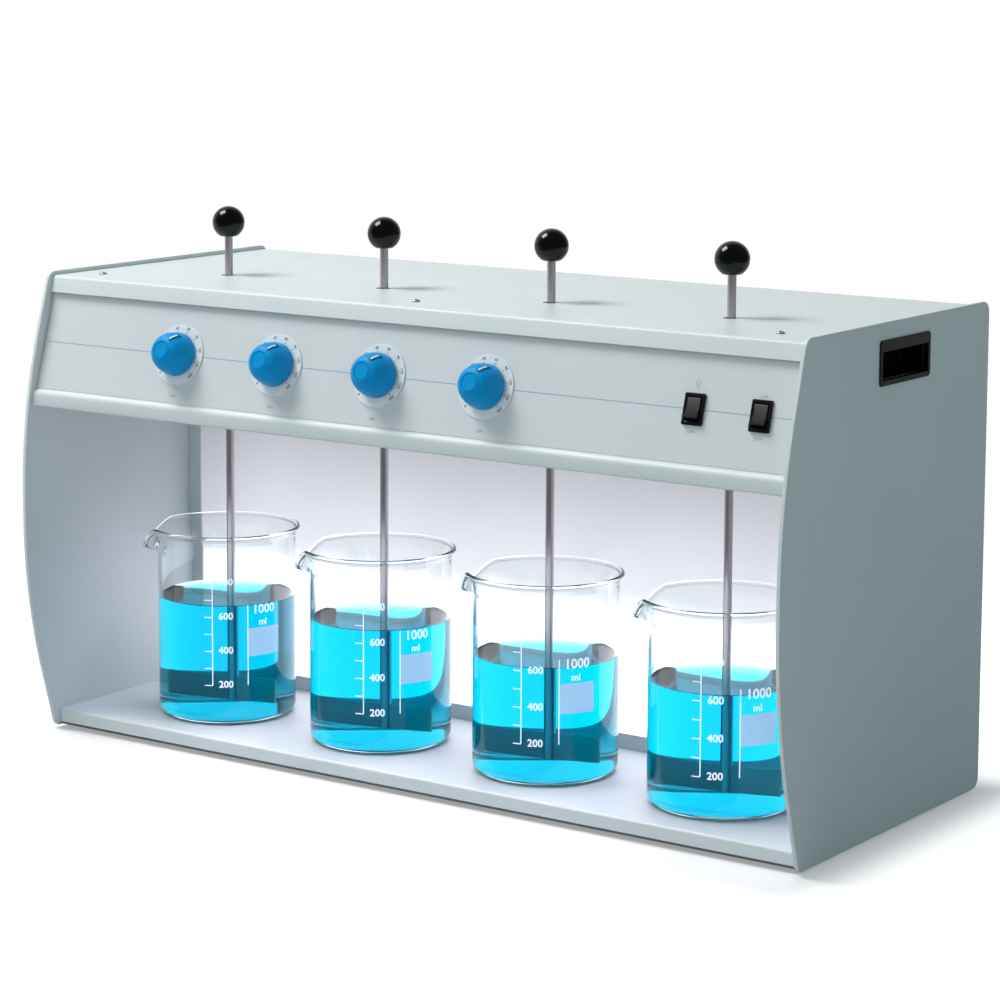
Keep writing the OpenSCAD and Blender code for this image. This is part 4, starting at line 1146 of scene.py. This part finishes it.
def turned_with_spout(name, section, centre, turn, rim, steps=144):
    """Turned solid whose upper edge is drawn out into a spout."""
    bm = bmesh.new()
    rings = []
    for radius, height in section:
        if radius < 1e-9:
            rings.append([bm.verts.new((centre.x, centre.y, height))])
            continue
        ring = []
        for k in range(steps):
            angle = 360 * k / steps
            out, down = spout_pull(angle, height, rim)
            way = radians(angle + turn)
            ring.append(bm.verts.new((centre.x + (radius + out) * cos(way),
                                      centre.y + (radius + out) * sin(way), height - down)))
        rings.append(ring)
    skin(bm, rings)
    outwards(bm)
    return plain_mesh(bm, name, angle=60)


def water_section(base, level):
    """Section of the water, which reaches a little into the glass so that no air lies between."""
    lap = 0.25 * MM
    inner = BEAKER_D / 2 - BEAKER_GLASS + lap
    edge = BEAKER_EDGE_R - BEAKER_GLASS
    floor_z = base + BEAKER_FLOOR - lap
    section = [(0, floor_z)] + arc((inner - edge, floor_z + edge), edge, -90, 0, 10)
    section += straight(section[-1], (inner, level + MENISCUS), 6)
    climb = [(inner - step, level + MENISCUS * math.exp(-step / (1.6 * MM)))
             for step in (0.4 * MM, 0.9 * MM, 1.6 * MM, 2.6 * MM, 4.2 * MM, 7 * MM)]
    return section + climb + [(0, level)]


def wrapped(mesh, centre, turn, radius):
    """Wraps a flat mesh round a cylinder: X runs round it from the angle, Y up, Z outwards."""
    for vertex in mesh.vertices:
        x, y, z = vertex.co
        way = radians(turn) + x / radius
        reach = radius + z
        vertex.co = (centre.x + reach * cos(way), centre.y + reach * sin(way), y)
    return mesh


def volume_print(finish, n, centre):
    """White scale with its numbers, the volume and a blank writing field."""
    turn = SCALE_TURNS[n - 1]
    radius = BEAKER_D / 2 + 0.02 * MM
    top = SCALE_LOW + (SCALE_MARKS - 1) * SCALE_STEP
    mark = box_mesh("tick", (-TICK_W, -TICK_H / 2, 0), (0, TICK_H / 2, PRINT_T), cuts=3)
    tick = add_object("tick", mark)
    ladder = row_of("scale_ticks", tick, SCALE_MARKS, (0, SCALE_LOW, 0), (0, SCALE_STEP, 0),
                    finish["enamel"])
    bpy.data.objects.remove(tick)
    line_w = SCALE_LINE_W
    parts = [ladder, box_mesh("scale_line", (-line_w / 2, SCALE_LOW, 0), (line_w / 2, top, PRINT_T))]
    for k, volume in enumerate((200, 400, 600, 800)):
        height = SCALE_LOW + 2 * k * SCALE_STEP + 0.8 * MM
        parts.append(text_mesh(str(volume), SCALE_NUMBER_H, Matrix.Translation((10 * MM, height, 0)),
                               weight=0.15 * MM))
    parts.append(box_mesh("rule", (FIELD_X, SCALE_LOW, 0), (FIELD_X + line_w, top - 17 * MM, PRINT_T)))
    for words, size, x, y in (("1000", VOLUME_H, 13.5 * MM, 101.5 * MM),
                              ("ml", UNIT_WORD_H, 12.5 * MM, 92 * MM)):
        parts.append(text_mesh(words, size, Matrix.Translation((FIELD_X + x, y, 0)), weight=0.1 * MM))
    field = box_mesh("field", (FIELD_X, FIELD_HEIGHTS[0], 0),
                     (FIELD_X + FIELD_W, FIELD_HEIGHTS[1], PRINT_T), cuts=12)
    for part in parts + [field]:
        wrapped(part, centre, turn, radius)
    finished(f"volume_print_{n}", joined("volume_print", parts), finish["enamel"], f"beaker_{n}_body")
    finished(f"writing_field_{n}", field, finish["field"], f"beaker_{n}_body")


def make_beakers(finish):
    """Beakers with their print and their water."""
    for n, turn, level in zip(PLACES, SPOUT_TURNS, WATER_LEVELS):
        low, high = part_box(f"beaker_{n}")
        place_x, place_y = JOINTS[f"stir_{n}"]["pos_m"][:2]
        centre = Vector((place_x + BEAKER_OFFSET[0], place_y + BEAKER_OFFSET[1], 0))
        ridden = f"beaker_{n}_body"
        wet_top = level + MENISCUS
        glass = turned_with_spout("beaker", glass_section(low.z, high.z, wet_top), centre, turn, high.z)
        finished(f"beaker_{n}_glass", glass, finish["glass"], ridden, [f"beaker_{n}"])
        glass.materials.append(finish["wet_glass"])
        for face in glass.polygons:
            away = (face.center.xy - centre.xy).length
            inside = away < BEAKER_D / 2 - 0.7 * BEAKER_GLASS
            above_floor = face.center.z > low.z + 0.6 * BEAKER_FLOOR
            face.material_index = 1 if inside and above_floor and face.center.z < wet_top else 0
        water = lathe_mesh("water", water_section(low.z, level), Matrix.Translation(centre), 144)
        finished(f"water_{n}", water, finish["water"], ridden)
        volume_print(finish, n, centre)


place_camera()
light_studio()
lay_floor()
finishes = make_finishes()
dress_housing(finishes)
colour_inner_parts(finishes)
fit_screws(finishes)
print_panel(finishes)
print_dials(finishes)
make_knobs(finishes)
make_stirrers(finishes)
make_beakers(finishes)

bpy.context.scene.view_settings.view_transform = "Standard"
